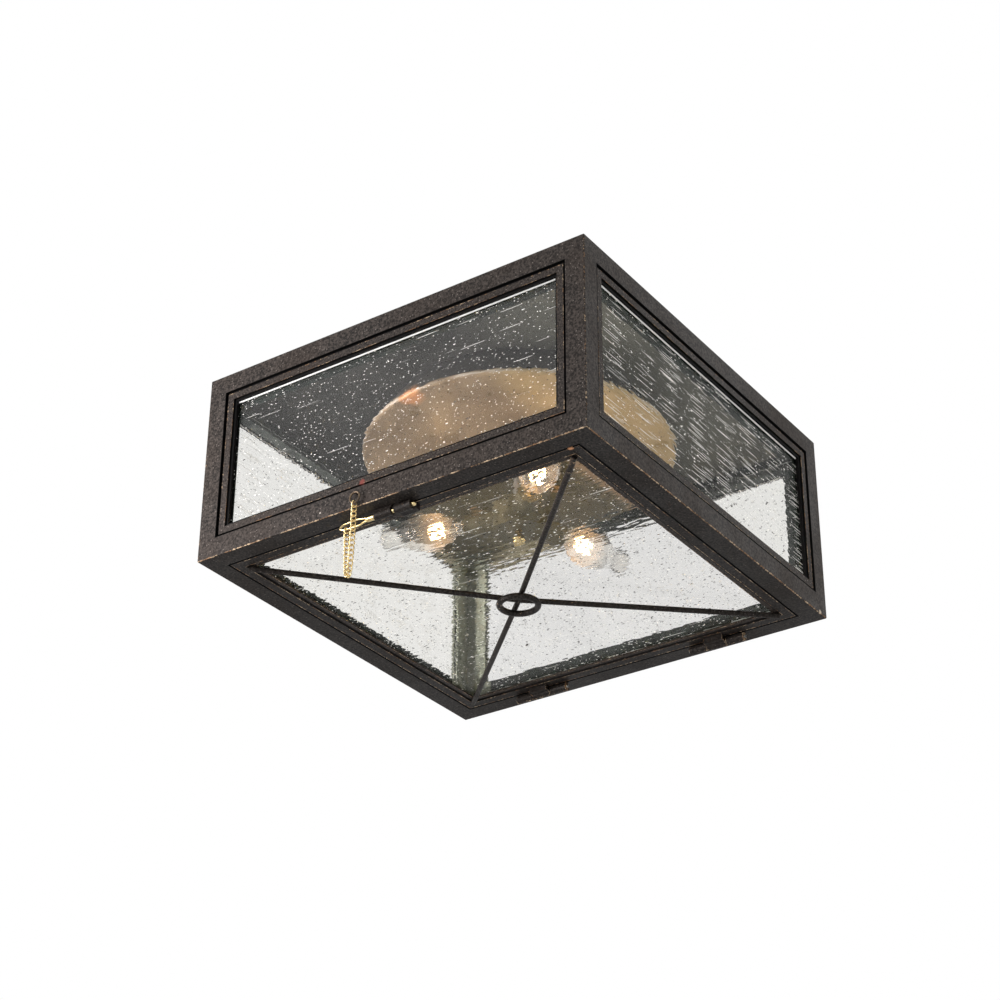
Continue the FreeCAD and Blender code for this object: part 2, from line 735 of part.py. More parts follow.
# Latch: a closed knuckle on the box, a knuckle open upwards on the door, and a pin with a wire loop
LATCH_Y = f"-{HALF} + bar_width - latch_inset"
LATCH_Z = f"{FLOOR} - run_gap - latch_door_radius"
FIXED_END = "latch_door_start - latch_gap"
FIXED_START = f"{FIXED_END} - latch_fixed_length"
DOOR_END = "latch_door_start + latch_door_length"
HEAD_END = f"{FIXED_START} - run_gap"
HEAD_START = f"{HEAD_END} - latch_head_length"


def latch_knuckles():
    bore = "latch_pin + pin_clearance"
    centre = (LATCH_Y, LATCH_Z)
    saddle_y = (f"{LATCH_Y} - saddle_wide", f"-{HALF} + bar_width - run_gap")
    fixed = tube_on_block("FixedLatch", (FIXED_START, FIXED_END), "latch_fixed_radius", bore, centre,
                          saddle_y, (LATCH_Z, FLOOR))
    piece(fixed, "latch_knuckle_fixed")
    ends = ("latch_door_start", DOOR_END)
    low = f"{LATCH_Z} - latch_door_radius / 4"
    foot_y = (f"-({DOOR_HALF}) + run_gap", f"-({DOOR_HALF}) + foot_reach")
    tube = cylinder("DoorLatchTube", "latch_door_radius", "latch_door_length",
                    ("latch_door_start", *centre), X_AXIS)
    web = box("DoorLatchWeb", ends, (LATCH_Y, foot_y[0]), (low, f"{LATCH_Z} + latch_door_radius"))
    foot = box("DoorLatchFoot", ends, foot_y, (low, FLOOR))
    hole = cylinder("DoorLatchBore", bore, "latch_door_length + 2 * cut_over",
                    ("latch_door_start - cut_over", *centre), X_AXIS)
    mouth = box("LatchMouth", ("latch_door_start - cut_over", f"{DOOR_END} + cut_over"),
                (f"{LATCH_Y} - ({bore})", f"{LATCH_Y} + {bore}"),
                (LATCH_Z, f"{LATCH_Z} + latch_door_radius + cut_over"))
    piece(cut("DoorLatch", fuse("DoorLatchBody", tube, web, foot), fuse("DoorLatchTools", hole, mouth)),
          "latch_knuckle_door")


def latch_pin():
    centre = (LATCH_Y, LATCH_Z)
    tip = f"{DOOR_END} + latch_pin_over - latch_pin"
    middle = f"{HEAD_START} + latch_head_length / 2"
    shaft = cylinder("PinShaft", "latch_pin", span(middle, tip), (middle, *centre), X_AXIS)
    nose = ball("PinNose", "latch_pin", (tip, *centre))
    head = cylinder("PinHead", "latch_head", "latch_head_length", (HEAD_START, *centre), X_AXIS)
    tools = []
    depth = "loop_leg_depth + pin_clearance + cut_over"
    for sign in ("-", "+"):
        start = (f"{HEAD_START} - cut_over", LATCH_Y, f"{LATCH_Z} {sign} loop_leg")
        tools.append(cylinder("LegHole", "loop_wire + pin_clearance", depth, start, X_AXIS))
    piece(cut("LatchPin", fuse("PinBody", shaft, nose, head), fuse("LegHoles", *tools)), "latch_pin")


# Course of the pin's loop as shares of its reach and of its half width, from the pin's head to its far end
LOOP_SHARES = [(0.25, 0.93), (0.50, 1.0), (0.75, 0.93), (0.94, 0.58)]
HANG_SHARE = 0.75
latch_y = -half + mm("bar_width") - mm("latch_inset")
latch_z = floor - mm("run_gap") - mm("latch_door_radius")
head_start = (mm("latch_door_start") - mm("latch_gap") - mm("latch_fixed_length")
              - mm("run_gap") - mm("latch_head_length"))
loop_far = mm("loop_reach") - mm("loop_wire")


def pin_loop():
    wire = mm("loop_wire")
    leg = mm("loop_leg")
    depth = mm("loop_leg_depth")
    upper = [FreeCAD.Vector(0, 0, leg)]
    for along_share, height_share in LOOP_SHARES:
        upper.append(FreeCAD.Vector(-along_share * loop_far, 0, height_share * mm("loop_half")))
    lower = [FreeCAD.Vector(point.x, 0, -point.z) for point in reversed(upper)]
    bend = Part.BSplineCurve()
    bend.interpolate(Points=upper + [FreeCAD.Vector(-loop_far, 0, 0)] + lower, InitialTangent=-X_AXIS,
                     FinalTangent=X_AXIS)
    first = Part.makeLine(FreeCAD.Vector(depth, 0, leg), upper[0])
    last = Part.makeLine(lower[-1], FreeCAD.Vector(depth, 0, -leg))
    path = Part.Wire([first, bend.toShape(), last])
    section = Part.Wire([Part.makeCircle(wire, FreeCAD.Vector(depth, 0, leg), X_AXIS)])
    loop = doc.addObject("Part::Feature", "PinLoop")
    loop.Shape = path.makePipeShell([section], True, False)
    loop.Placement = FreeCAD.Placement(FreeCAD.Vector(head_start, latch_y, latch_z), FreeCAD.Rotation())
    loop.Label = "latch_pin_loop"
    pieces[loop.Label] = loop


# Chain: a wire eye in the front rail, and links that hang in a catenary from it to the pin's loop
EYE_Y = f"-{HALF} - link_wide / 2 - 2 * run_gap"
LINKS = 28
SEARCH_STEPS = 80
TIGHT_SHARE = 1 / 60
SLACK_SHARE = 20


def chain_eye():
    level = f"{FLOOR} + eye_rise"
    reach = f"-({EYE_Y}) - {HALF} + bar_wall"
    ring = torus("EyeRing", "eye_radius", "eye_wire",
                 ("-eye_place", EYE_Y, f"{level} - eye_radius"), Y_AXIS)
    tail = cylinder("EyeTail", "eye_tail", reach, ("-eye_place", EYE_Y, level), Y_AXIS)
    piece(fuse("ChainEye", ring, tail), "chain_eye")


def wire_link(length, width, wire):
    reach = (length - width) / 2
    side = width / 2
    edges = []
    for sign in (1, -1):
        start = FreeCAD.Vector(sign * reach, -sign * side, 0)
        middle = FreeCAD.Vector(sign * (reach + side), 0, 0)
        end = FreeCAD.Vector(sign * reach, sign * side, 0)
        edges.append(Part.Arc(start, middle, end).toShape())
        edges.append(Part.makeLine(end, FreeCAD.Vector(-sign * reach, sign * side, 0)))
    section = Part.Wire([Part.makeCircle(wire, FreeCAD.Vector(reach, -side, 0), X_AXIS)])
    return Part.Wire(edges).makePipeShell([section], True, False)


def link_shape():
    wire = mm("link_wire")
    return wire_link(mm("link_length") - 2 * wire, mm("link_wide") - 2 * wire, wire)


def catenary_scale(length, across, fall):
    wanted = math.sqrt(length * length - fall * fall)
    low = across * TIGHT_SHARE
    high = across * SLACK_SHARE
    for attempt in range(SEARCH_STEPS):
        middle = (low + high) / 2
        if 2 * middle * math.sinh(across / (2 * middle)) > wanted:
            low = middle
        else:
            high = middle
    return (low + high) / 2


def chain():
    wire = mm("link_wire")
    pitch = mm("link_length") - 4 * wire - mm("link_play")
    start = FreeCAD.Vector(-mm("eye_place"), -half - mm("link_wide") / 2 - 2 * mm("run_gap"),
                           floor + mm("eye_rise") - 2 * mm("eye_radius"))
    hang_height = dict(LOOP_SHARES)[HANG_SHARE] * mm("loop_half")
    end = FreeCAD.Vector(head_start - HANG_SHARE * loop_far, latch_y, latch_z - hang_height)
    end_bar = mm("link_length") / 2 - wire
    first_centre = end_bar - wire - mm("eye_wire") - mm("link_play") / 2
    last_centre = end_bar - wire - mm("loop_wire") - mm("link_play") / 2
    length = first_centre + last_centre + (LINKS - 1) * pitch
    level = FreeCAD.Vector(end.x - start.x, end.y - start.y, 0)
    across = level.Length
    level.normalize()
    fall = end.z - start.z
    scale = catenary_scale(length, across, fall)
    lowest = across / 2 - scale * math.atanh(fall / length)
    start_arc = scale * math.sinh(-lowest / scale)
    start_height = scale * math.cosh(-lowest / scale)

    def point_at(distance):
        run = scale * math.asinh((start_arc + distance) / scale)
        rise = scale * math.cosh(run / scale) - start_height
        return start + level * (run + lowest) + Z_AXIS * rise

    def course_at(distance):
        step = pitch / 4
        course = point_at(distance + step) - point_at(distance - step)
        return course.normalize()

    sideways = Z_AXIS.cross(level)
    places = [first_centre + index * pitch for index in range(LINKS)]

    def roll_towards(distance, wanted):
        other = course_at(distance).cross(sideways)
        return math.degrees(math.atan2(wanted.dot(other), wanted.dot(sideways)))

    first_roll = roll_towards(places[0], X_AXIS)
    last_roll = roll_towards(places[-1], X_AXIS)
    spare = (last_roll - first_roll - QUARTER * (LINKS - 1) + QUARTER) % (2 * QUARTER) - QUARTER
    turn = QUARTER + spare / (LINKS - 1)
    master = link_shape()
    links = []
    for index, distance in enumerate(places):
        course = course_at(distance)
        roll = math.radians(first_roll + index * turn)
        normal = sideways * math.cos(roll) + course.cross(sideways) * math.sin(roll)
        link = master.copy()
        stand = FreeCAD.Rotation(course, normal.cross(course), normal)
        link.Placement = FreeCAD.Placement(point_at(distance), stand)
        links.append(link)
    strand = doc.addObject("Part::Feature", "Chain")
    strand.Shape = Part.makeCompound(links)
    strand.Placement = FreeCAD.Placement()
    strand.Label = "chain"
    pieces[strand.Label] = strand
    print("chain length %.1f mm, lowest %.1f" % (length, strand.Shape.BoundBox.ZMin))


for order, corner in enumerate(CORNERS):
    corner_post("corner_post_" + corner, QUARTER * order)
for order, side_name in enumerate(SIDES):
    rail("top_rail_" + side_name, QUARTER * order, True)
    rail("bottom_rail_" + side_name, QUARTER * order, False)
    window_frame("window_frame_" + side_name, QUARTER * order)
    window_glass("window_glass_" + side_name, QUARTER * order)
    door_rail("door_rail_" + side_name, QUARTER * order)
window_stops()
roof()
strap()
stem()
stem_nuts()
reflector_pan()
hub()
hub_cover()
finial()
lead_wires()
for order, lamp_angle in enumerate(LAMP_ANGLES, start=1):
    socket("socket_%d" % order, lamp_angle)
    bulb_cap("bulb_cap_%d" % order, lamp_angle)
    bulb_glass("bulb_glass_%d" % order, lamp_angle)
    bulb_filament("bulb_filament_%d" % order, lamp_angle)
door_glass()
door_clips()
brace()
hinges()
latch_knuckles()
latch_pin()
pin_loop()
chain_eye()
chain()
doc.recompute()

# Every object must have worked out before anything is written
for thing in doc.Objects:
    if "Invalid" in thing.State or "Error" in thing.State:
        raise RuntimeError("%s did not work out" % thing.Label)
for label, thing in pieces.items():
    if thing.Shape.isNull() or not thing.Shape.isValid():
        raise RuntimeError("%s has no valid shape" % label)
for label, thing in pieces.items():
    thing.Shape.exportStep("parts/%s.step" % label)
print("%d pieces written" % len(pieces))
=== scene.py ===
import math

import bpy
from mathutils import Matrix, Vector


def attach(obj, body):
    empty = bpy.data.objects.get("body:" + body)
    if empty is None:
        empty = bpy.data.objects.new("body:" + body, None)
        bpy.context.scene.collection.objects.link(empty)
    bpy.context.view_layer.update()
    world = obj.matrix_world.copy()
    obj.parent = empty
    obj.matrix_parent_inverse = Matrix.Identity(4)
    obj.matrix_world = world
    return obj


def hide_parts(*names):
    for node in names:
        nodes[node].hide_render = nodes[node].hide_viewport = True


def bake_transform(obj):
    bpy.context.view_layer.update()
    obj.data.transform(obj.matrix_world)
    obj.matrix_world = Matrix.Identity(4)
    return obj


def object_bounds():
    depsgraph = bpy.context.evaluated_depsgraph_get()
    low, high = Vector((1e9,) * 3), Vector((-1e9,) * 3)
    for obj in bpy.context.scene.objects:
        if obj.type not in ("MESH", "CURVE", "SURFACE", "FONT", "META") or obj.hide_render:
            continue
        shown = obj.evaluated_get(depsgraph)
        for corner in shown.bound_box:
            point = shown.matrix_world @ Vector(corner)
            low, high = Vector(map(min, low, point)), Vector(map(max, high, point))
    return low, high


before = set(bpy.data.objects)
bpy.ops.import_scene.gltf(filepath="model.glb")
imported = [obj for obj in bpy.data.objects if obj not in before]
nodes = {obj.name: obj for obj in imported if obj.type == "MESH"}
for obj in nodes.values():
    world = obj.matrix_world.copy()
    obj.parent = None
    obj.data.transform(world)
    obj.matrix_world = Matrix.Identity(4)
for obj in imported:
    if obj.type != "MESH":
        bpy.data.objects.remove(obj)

scene = bpy.context.scene
cadLow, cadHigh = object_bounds()
sideNames = ("front", "right", "back", "left")
lampAngles = (76.0, 196.0, 316.0)

# Camera, where the photograph was taken from
cameraSetup = {
    "spot": (1.0151, -1.4877, -1.1217),
    "across": (0.8225, 0.5689, 0.0058),
    "upward": (0.2778, -0.4105, 0.8686),
    "lens": 81.47,
    "sensor": 36.0,
}

bpy.ops.object.select_all(action="DESELECT")
bpy.ops.object.camera_add(location=cameraSetup["spot"])
camera = bpy.context.object
across, upward = Vector(cameraSetup["across"]), Vector(cameraSetup["upward"])
camera.rotation_mode = "QUATERNION"
camera.rotation_quaternion = Matrix((across, upward, across.cross(upward))).transposed().to_quaternion()
camera.data.lens = cameraSetup["lens"]
camera.data.sensor_width = cameraSetup["sensor"]
camera.data.clip_start = 0.05
scene.camera = camera
scene.view_settings.view_transform = "Standard"
print("camera ready")


# Small helpers for material nodes
def feed(tree, socket, value):
    if isinstance(value, tuple):
        socket.default_value = (*value, 1.0) if len(socket.default_value) == 4 else value
    elif isinstance(value, (int, float)):
        socket.default_value = value
    elif value is not None:
        tree.links.new(value, socket)


def work(tree, operation, first, second=None):
    step = tree.nodes.new("ShaderNodeMath")
    step.operation = operation
    feed(tree, step.inputs[0], first)
    feed(tree, step.inputs[1], second)
    return step.outputs[0]


def product(tree, whole, *others):
    for value in others:
        whole = work(tree, "MULTIPLY", whole, value)
    return whole


def ramp(tree, value, low, high, start=0.0, end=1.0):
    step = tree.nodes.new("ShaderNodeMapRange")
    step.interpolation_type = "SMOOTHSTEP"
    for name, number in (("From Min", low), ("From Max", high), ("To Min", start), ("To Max", end)):
        step.inputs[name].default_value = number
    feed(tree, step.inputs["Value"], value)
    return step.outputs[0]


def tint(tree, share, first, second):
    step = tree.nodes.new("ShaderNodeMix")
    step.data_type = "RGBA"
    for spot, value in ((0, share), (6, first), (7, second)):
        feed(tree, step.inputs[spot], value)
    return step.outputs[2]


def mottled(tree, noise, low, high, shades):
    return tint(tree, ramp(tree, noise, low, high), *shades)


def stretched(tree, place, scale, shift=(0.0, 0.0, 0.0), turn=0.0):
    step = tree.nodes.new("ShaderNodeMapping")
    step.inputs["Scale"].default_value = scale
    step.inputs["Location"].default_value = shift
    step.inputs["Rotation"].default_value = (0.0, 0.0, math.radians(turn))
    tree.links.new(place, step.inputs["Vector"])
    return step.outputs[0]


def grain(tree, place, scale=1.0, detail=2.0, rough=0.5):
    step = tree.nodes.new("ShaderNodeTexNoise")
    step.inputs["Scale"].default_value = scale
    step.inputs["Detail"].default_value = detail
    step.inputs["Roughness"].default_value = rough
    tree.links.new(place, step.inputs["Vector"])
    return step.outputs["Fac"]


def cells(tree, place, scale=1.0):
    step = tree.nodes.new("ShaderNodeTexVoronoi")
    step.inputs["Scale"].default_value = scale
    tree.links.new(place, step.inputs["Vector"])
    return step.outputs["Distance"], step.outputs["Color"]


def relief(tree, height, distance, strength=1.0, under=None):
    step = tree.nodes.new("ShaderNodeBump")
    step.inputs["Distance"].default_value = distance
    step.inputs["Strength"].default_value = strength
    tree.links.new(height, step.inputs["Height"])
    feed(tree, step.inputs["Normal"], under)
    return step.outputs[0]


def newFinish(name):
    finish = bpy.data.materials.new(name)
    finish.use_nodes = True
    tree = finish.node_tree
    place = tree.nodes.new("ShaderNodeTexCoord").outputs["Object"]
    return finish, tree, tree.nodes["Principled BSDF"].inputs, place


def parts(tree, place):
    split = tree.nodes.new("ShaderNodeSeparateXYZ")
    tree.links.new(place, split.inputs[0])
    return split.outputs[0], split.outputs[1], split.outputs[2]


def channels(tree, colour):
    split = tree.nodes.new("ShaderNodeSeparateColor")
    tree.links.new(colour, split.inputs[0])
    return split.outputs[0], split.outputs[1], split.outputs[2]


def fromAxis(tree, place):
    step = tree.nodes.new("ShaderNodeVectorMath")
    step.operation = "LENGTH"
    tree.links.new(stretched(tree, place, (1.0, 1.0, 0.0)), step.inputs[0])
    return step.outputs["Value"]


def within(tree, value, limit, soft=0.0001):
    return ramp(tree, value, limit - soft, limit + soft, 1.0, 0.0)


def beyond(tree, value, limit, soft=0.0001):
    return ramp(tree, value, limit - soft, limit + soft)


def most(tree, values):
    whole = values[0]
    for value in values[1:]:
        whole = work(tree, "MAXIMUM", whole, value)
    return whole


def nearPoint(tree, place, point, radius, rough):
    step = tree.nodes.new("ShaderNodeVectorMath")
    step.operation = "DISTANCE"
    tree.links.new(place, step.inputs[0])
    step.inputs[1].default_value = point
    wobble = work(tree, "ADD", step.outputs["Value"], work(tree, "MULTIPLY", rough, radius * 1.6))
    return ramp(tree, wobble, radius * 1.3, radius * 2.0, 1.0, 0.0)


# Bronze paint: fine speckle and relief, with copper rubbed through where each group of bars has its edges,
# mixed with pale painted edge highlights
bronzeLook = {
    "dark": (0.0070, 0.0059, 0.0054),
    "light": (0.074, 0.062, 0.055),
    "dot": (0.235, 0.205, 0.185),
    "brown": (0.040, 0.028, 0.021),
    # shadowBlack: near-dark painted shade for the faces beneath and for gaps, grooves and backs
    "shadowBlack": (0.0012, 0.0012, 0.0012),
    # inside, shaded, farPost, farTop: painted light and shade on inner faces; lit, in shade, and pale painted
    # light on the far post and the corner above it
    "inside": (0.056, 0.064, 0.053),
    "shaded": (0.005, 0.010, 0.007),
    "farPost": (0.320, 0.350, 0.275),
    "farTop": (0.285, 0.262, 0.175),
    # under: share of painted shade on the faces beneath
    "under": 0.50,  # share of black on the faces beneath
    # copper: paint rubbed through on edges; pale: painted edge highlight, mixed with the copper along the
    # same lines
    "copper": (0.24, 0.135, 0.070),
    "pale": (0.60, 0.45, 0.30),
    "gloss": 0.14,
    "roughness": (0.40, 0.58),
}
half, height = cadHigh.x, 0.188

# Where the painted light and shade on inner faces changes: painted shade low down and on the right, painted
# light at the far corner (-X, +Y)
insideZones = {
    "right": 0.05,
    "low": -0.1650,
    "farSide": -0.06,
    "farBack": 0.08,
    "farTop": -0.05,
    "post": 0.1840,
    "frame": 0.1715,
    "floor": -0.1860,
}

# Edges, as distances from the part's middle planes; each line is distance, width, bare level and spread level
paintEdges = {
    # underside: the level below which painted shade darkens the faces beneath; the gap, groove and back
    # entries also mark painted shade
    "underside": (-0.1879, -0.1874),
    "bars": 0.1840,
    "barBacks": 0.2004,
    "barFlanks": 0.1995,
    "barLevels": (-0.1865, -0.0020),
    "windowDrop": 0.109,  # how much less a window is high than wide, halved
    "beads": (0.1811, 0.1750),
    "beadGroove": 0.1815,
    "beadFront": 0.2012,
    "lipFront": 0.2014,
    "frameBacks": 0.1992,
    "doorLines": ((0.1816, 0.0008, 0.42, 0.38), (0.1730, 0.0008, 0.42, 0.38), (0.1669, 0.0008, 0.42, 0.42)),
    "doorFlank": -0.1865,
    "doorStep": (0.1716, -0.1878),
    "doorGap": 0.1821,
    "hinge": 0.098,
    "hingeLines": ((0.0097, 0.0006, 0.44, 0.40), (0.0107, 0.0006, 0.46, 0.40), (0.0284, 0.0009, 0.44, 0.40)),
    "hingeLow": 0.1962,
    "hingeGap": 0.0102,
}


# Edge line: copper rubbed through, mixed with a pale painted edge highlight, where the rubbed noise, less
# with distance, and the patches' noise are both high
def wornEdgeAndHighlight(tree, distance, width, bare, spread, rubbed, patches):
    away = work(tree, "ABSOLUTE", distance)
    fade = work(tree, "MULTIPLY", work(tree, "DIVIDE", away, width), 0.3)
    edge = ramp(tree, work(tree, "SUBTRACT", rubbed, fade), bare, bare + 0.08)
    near = ramp(tree, away, width * 0.8, width * 1.2, 1.0, 0.0)
    return product(tree, edge, near, ramp(tree, patches, spread, spread + 0.10))


def farCorner(tree, x, y, back=0.14):
    zone = insideZones
    return product(tree, ramp(tree, y, zone["farBack"], back), within(tree, x, zone["farSide"], 0.03))


# Painted light and shade on the inner faces: shade low down and on the right, light at the corner above the
# far post and on that post
def insideLightAndShade(tree, x, y, z, inner, lightBreakup):
    zone = insideZones
    left = within(tree, x, zone["right"], 0.02)
    lit = product(tree, beyond(tree, z, zone["low"]), left)
    shade = tint(tree, lit, bronzeLook["shaded"], bronzeLook["inside"])
    top = product(tree, farCorner(tree, x, y), beyond(tree, z, zone["farTop"]))
    shade = tint(tree, top, shade, bronzeLook["farTop"])
    post = product(tree, beyond(tree, inner, zone["post"]), left, lightBreakup)
    return tint(tree, post, shade, bronzeLook["farPost"])


# Painted light on the faces by the far post (-X, +Y)
def farPostLitFaces(tree, x, y, z, at):
    zone = insideZones
    behind = within(tree, at["outer"], paintEdges["barBacks"])
    faces = product(tree, beyond(tree, at["inner"], zone["frame"]), behind, beyond(tree, z, zone["floor"]))
    return product(tree, faces, within(tree, x, 0.0), beyond(tree, y, 0.0))


def bronzePaint(name, marksOf, chips=()):
    finish, tree, shader, place = newFinish(name)
    sparkle = grain(tree, place, 520.0, 3.0, 0.7)
    far, colour = cells(tree, place, 400.0)
    cloud = grain(tree, place, 11.0, 3.0, 0.6)
    rubbed = grain(tree, place, 420.0, 4.0, 0.75)
    patches = grain(tree, place, 42.0, 4.0, 0.65)
    base = mottled(tree, sparkle, 0.36, 0.66, (bronzeLook["dark"], bronzeLook["light"]))
    base = tint(tree, ramp(tree, cloud, 0.35, 0.75, 0.0, 0.40), base, bronzeLook["brown"])
    some = ramp(tree, channels(tree, colour)[0], 0.62, 0.64)
    base = tint(tree, product(tree, ramp(tree, far, 0.12, 0.26, 0.8, 0.0), some), base, bronzeLook["dot"])
    x, y, z = parts(tree, place)
    side, deep = work(tree, "ABSOLUTE", x), work(tree, "ABSOLUTE", y)
    at = {"side": side, "z": z, "rise": work(tree, "ABSOLUTE", work(tree, "ADD", z, height / 2)),
          "outer": work(tree, "MAXIMUM", side, deep), "inner": work(tree, "MINIMUM", side, deep)}
    lines, gap, inside = marksOf(tree, at)
    # painted shade on the faces beneath
    under = ramp(tree, z, *paintEdges["underside"], bronzeLook["under"], 0.0)
    base = tint(tree, under, base, bronzeLook["shadowBlack"])
    # speckled share of the painted light on the far post
    lightBreakup = ramp(tree, sparkle, 0.40, 0.62, 0.35, 1.0)
    base = tint(tree, inside, base, insideLightAndShade(tree, x, y, z, at["inner"], lightBreakup))
    # painted shade in the gaps, grooves and backs between parts
    base = tint(tree, gap, base, bronzeLook["shadowBlack"])
    base = tint(tree, product(tree, farPostLitFaces(tree, x, y, z, at), lightBreakup), base, bronzeLook["farPost"])
    if lines:
        # edge lines: copper rubbed through, mixed with pale painted edge highlights
        edgeWearAndHighlight = most(tree, [wornEdgeAndHighlight(tree, *line, rubbed, patches) for line in lines])
        shades = (bronzeLook["copper"], bronzeLook["pale"])
        base = tint(tree, edgeWearAndHighlight, base, mottled(tree, grain(tree, place, 90.0, 3.0, 0.6), 0.44, 0.58, shades))
    for point, radius, shade in chips:
        base = tint(tree, nearPoint(tree, place, point, radius, rubbed), base, shade)
    feed(tree, shader["Base Color"], base)
    shader["Specular IOR Level"].default_value = bronzeLook["gloss"]
    feed(tree, shader["Roughness"], ramp(tree, cloud, 0.3, 0.7, *bronzeLook["roughness"]))
    feed(tree, shader["Normal"], relief(tree, sparkle, 0.00025, 0.9))
    return finish


def rimOf(tree, at, across):
    return work(tree, "MAXIMUM", work(tree, "SUBTRACT", at["inner"], across),
                work(tree, "SUBTRACT", at["rise"], across - paintEdges["windowDrop"]))


# Each of these gives the edge lines with their painted highlights, the painted shade in gaps, grooves and
# backs, and the inner faces that get painted light and shade, for one group of bars
def boxMarks(tree, at):
    past = work(tree, "SUBTRACT", half, at["outer"])
    corner = work(tree, "SUBTRACT", half, at["inner"])
    bottom = work(tree, "MAXIMUM", past, work(tree, "ADD", at["z"], height))
    top = work(tree, "MAXIMUM", past, work(tree, "MULTIPLY", at["z"], -1.0))
    lines = ((corner, 0.0042, 0.50, 0.40), (bottom, 0.0012, 0.32, 0.36), (bottom, 0.0035, 0.56, 0.44),
             (top, 0.0018, 0.48, 0.46))
    low, high = paintEdges["barLevels"]
    behind = product(tree, within(tree, at["outer"], paintEdges["barBacks"]), beyond(tree, at["z"], low),
                     within(tree, at["z"], high))
    # painted shade in the groove and in the gap by the door
    groove = product(tree, within(tree, rimOf(tree, at, paintEdges["bars"]), 0.0002),
                     beyond(tree, at["outer"], paintEdges["barFlanks"]))
    return lines, most(tree, [groove, within(tree, at["outer"], paintEdges["bars"] + 0.0004)]), behind


def beadMarks(tree, at):
    lines = []
    for across in paintEdges["beads"]:
        deep = within(tree, at["outer"], paintEdges["beadFront"], 0.0002)
        rim = work(tree, "ABSOLUTE", rimOf(tree, at, across))
        lines.append((work(tree, "ADD", rim, deep), 0.0008, 0.44, 0.46))
    # painted shade in the groove, under the lip and on the frames' backs
    groove = beyond(tree, rimOf(tree, at, paintEdges["beadGroove"]), -0.0002)
    lip = product(tree, within(tree, rimOf(tree, at, paintEdges["beads"][1]), 0.0002),
                  within(tree, at["outer"], paintEdges["lipFront"], 0.0004))
    return lines, most(tree, [groove, lip, within(tree, at["outer"], paintEdges["frameBacks"], 0.0004)]), 0.0


def doorMarks(tree, at):
    low = beyond(tree, at["z"], paintEdges["doorFlank"], 0.0003)
    lines = []
    for across, width, bare, spread in paintEdges["doorLines"]:
        rim = work(tree, "ABSOLUTE", work(tree, "SUBTRACT", at["outer"], across))
        lines.append((work(tree, "ADD", rim, low), width, bare, spread))
    # painted shade along the door's step and in the gap round the door
    across, level = paintEdges["doorStep"]
    step = work(tree, "ABSOLUTE", work(tree, "SUBTRACT", at["outer"], across))
    step = product(tree, within(tree, step, 0.0009), beyond(tree, at["z"], level))
    return lines, most(tree, [beyond(tree, at["outer"], paintEdges["doorGap"]), step]), 0.0


def hingeMarks(tree, at):
    along = work(tree, "ABSOLUTE", work(tree, "SUBTRACT", at["side"], paintEdges["hinge"]))
    lines = [(work(tree, "SUBTRACT", along, out), width, bare, spread)
             for out, width, bare, spread in paintEdges["hingeLines"]]
    lines.append((work(tree, "ADD", at["z"], paintEdges["hingeLow"]), 0.0010, 0.52, 0.44))
    # painted shade in the gaps between the knuckles
    gap = work(tree, "ABSOLUTE", work(tree, "SUBTRACT", along, paintEdges["hingeGap"]))
    return lines, within(tree, gap, 0.0004), 0.0


def rodMarks(tree, at):
    return ((0.0, 1.0, 0.60, 0.56),), 0.0, 0.0


def weldMarks(tree, at):
    return ((0.0, 1.0, 0.55, 0.40),), 0.0, 0.0


chipSpots = {
    "box": (((0.203, 0.1900, -0.1865), 0.0022, (0.62, 0.52, 0.40)),
            ((-0.0655, -0.203, -0.1816), 0.0010, (0.55, 0.50, 0.45))),
    "bead": (((-0.0223, -0.2018, -0.1650), 0.0032, (0.20, 0.055, 0.045)),),
    "door": (((0.1740, -0.1817, -0.1880), 0.0026, (0.58, 0.28, 0.14)),),
}
boxPaint = bronzePaint("boxPaint", boxMarks, chipSpots["box"])
beadPaint = bronzePaint("beadPaint", beadMarks, chipSpots["bead"])
doorPaint = bronzePaint("doorPaint", doorMarks, chipSpots["door"])
hingePaint = bronzePaint("hingePaint", hingeMarks)
rodPaint = bronzePaint("rodPaint", rodMarks)
weldPaint = bronzePaint("weldPaint", weldMarks)


# Roof sheet: flat dark grey paint, with painted light beneath towards the right and at the far corner
roofLook = {
    "grey": ((0.069, 0.068, 0.062), (0.108, 0.105, 0.096)),
    # right: painted light beneath towards the right
    "right": (0.190, 0.190, 0.152),
    "speck": (0.13, 0.13, 0.12),
    "middle": -0.0036,
    "toRight": (0.02, 0.12),
    "toBack": 0.13,
}


def roofFinish():
    finish, tree, shader, place = newFinish("roofPaint")
    cloud = grain(tree, place, 9.0, 4.0, 0.6)
    speck = grain(tree, place, 400.0, 2.0, 0.6)
    x, y, z = parts(tree, place)
    base = mottled(tree, cloud, 0.3, 0.7, roofLook["grey"])
    under = within(tree, z, roofLook["middle"], 0.0003)
    # painted light beneath towards the right, then at the far corner
    base = tint(tree, product(tree, ramp(tree, x, *roofLook["toRight"]), under), base, roofLook["right"])
    corner = farCorner(tree, x, y, roofLook["toBack"])
    base = tint(tree, product(tree, corner, under), base, bronzeLook["farTop"])
    base = tint(tree, ramp(tree, speck, 0.5, 0.75, 0.0, 0.4), base, roofLook["speck"])
    feed(tree, shader["Base Color"], base)
    shader["Roughness"].default_value = 0.62
    shader["Specular IOR Level"].default_value = 0.2
    feed(tree, shader["Normal"], relief(tree, speck, 0.0002, 0.5))
    return finish


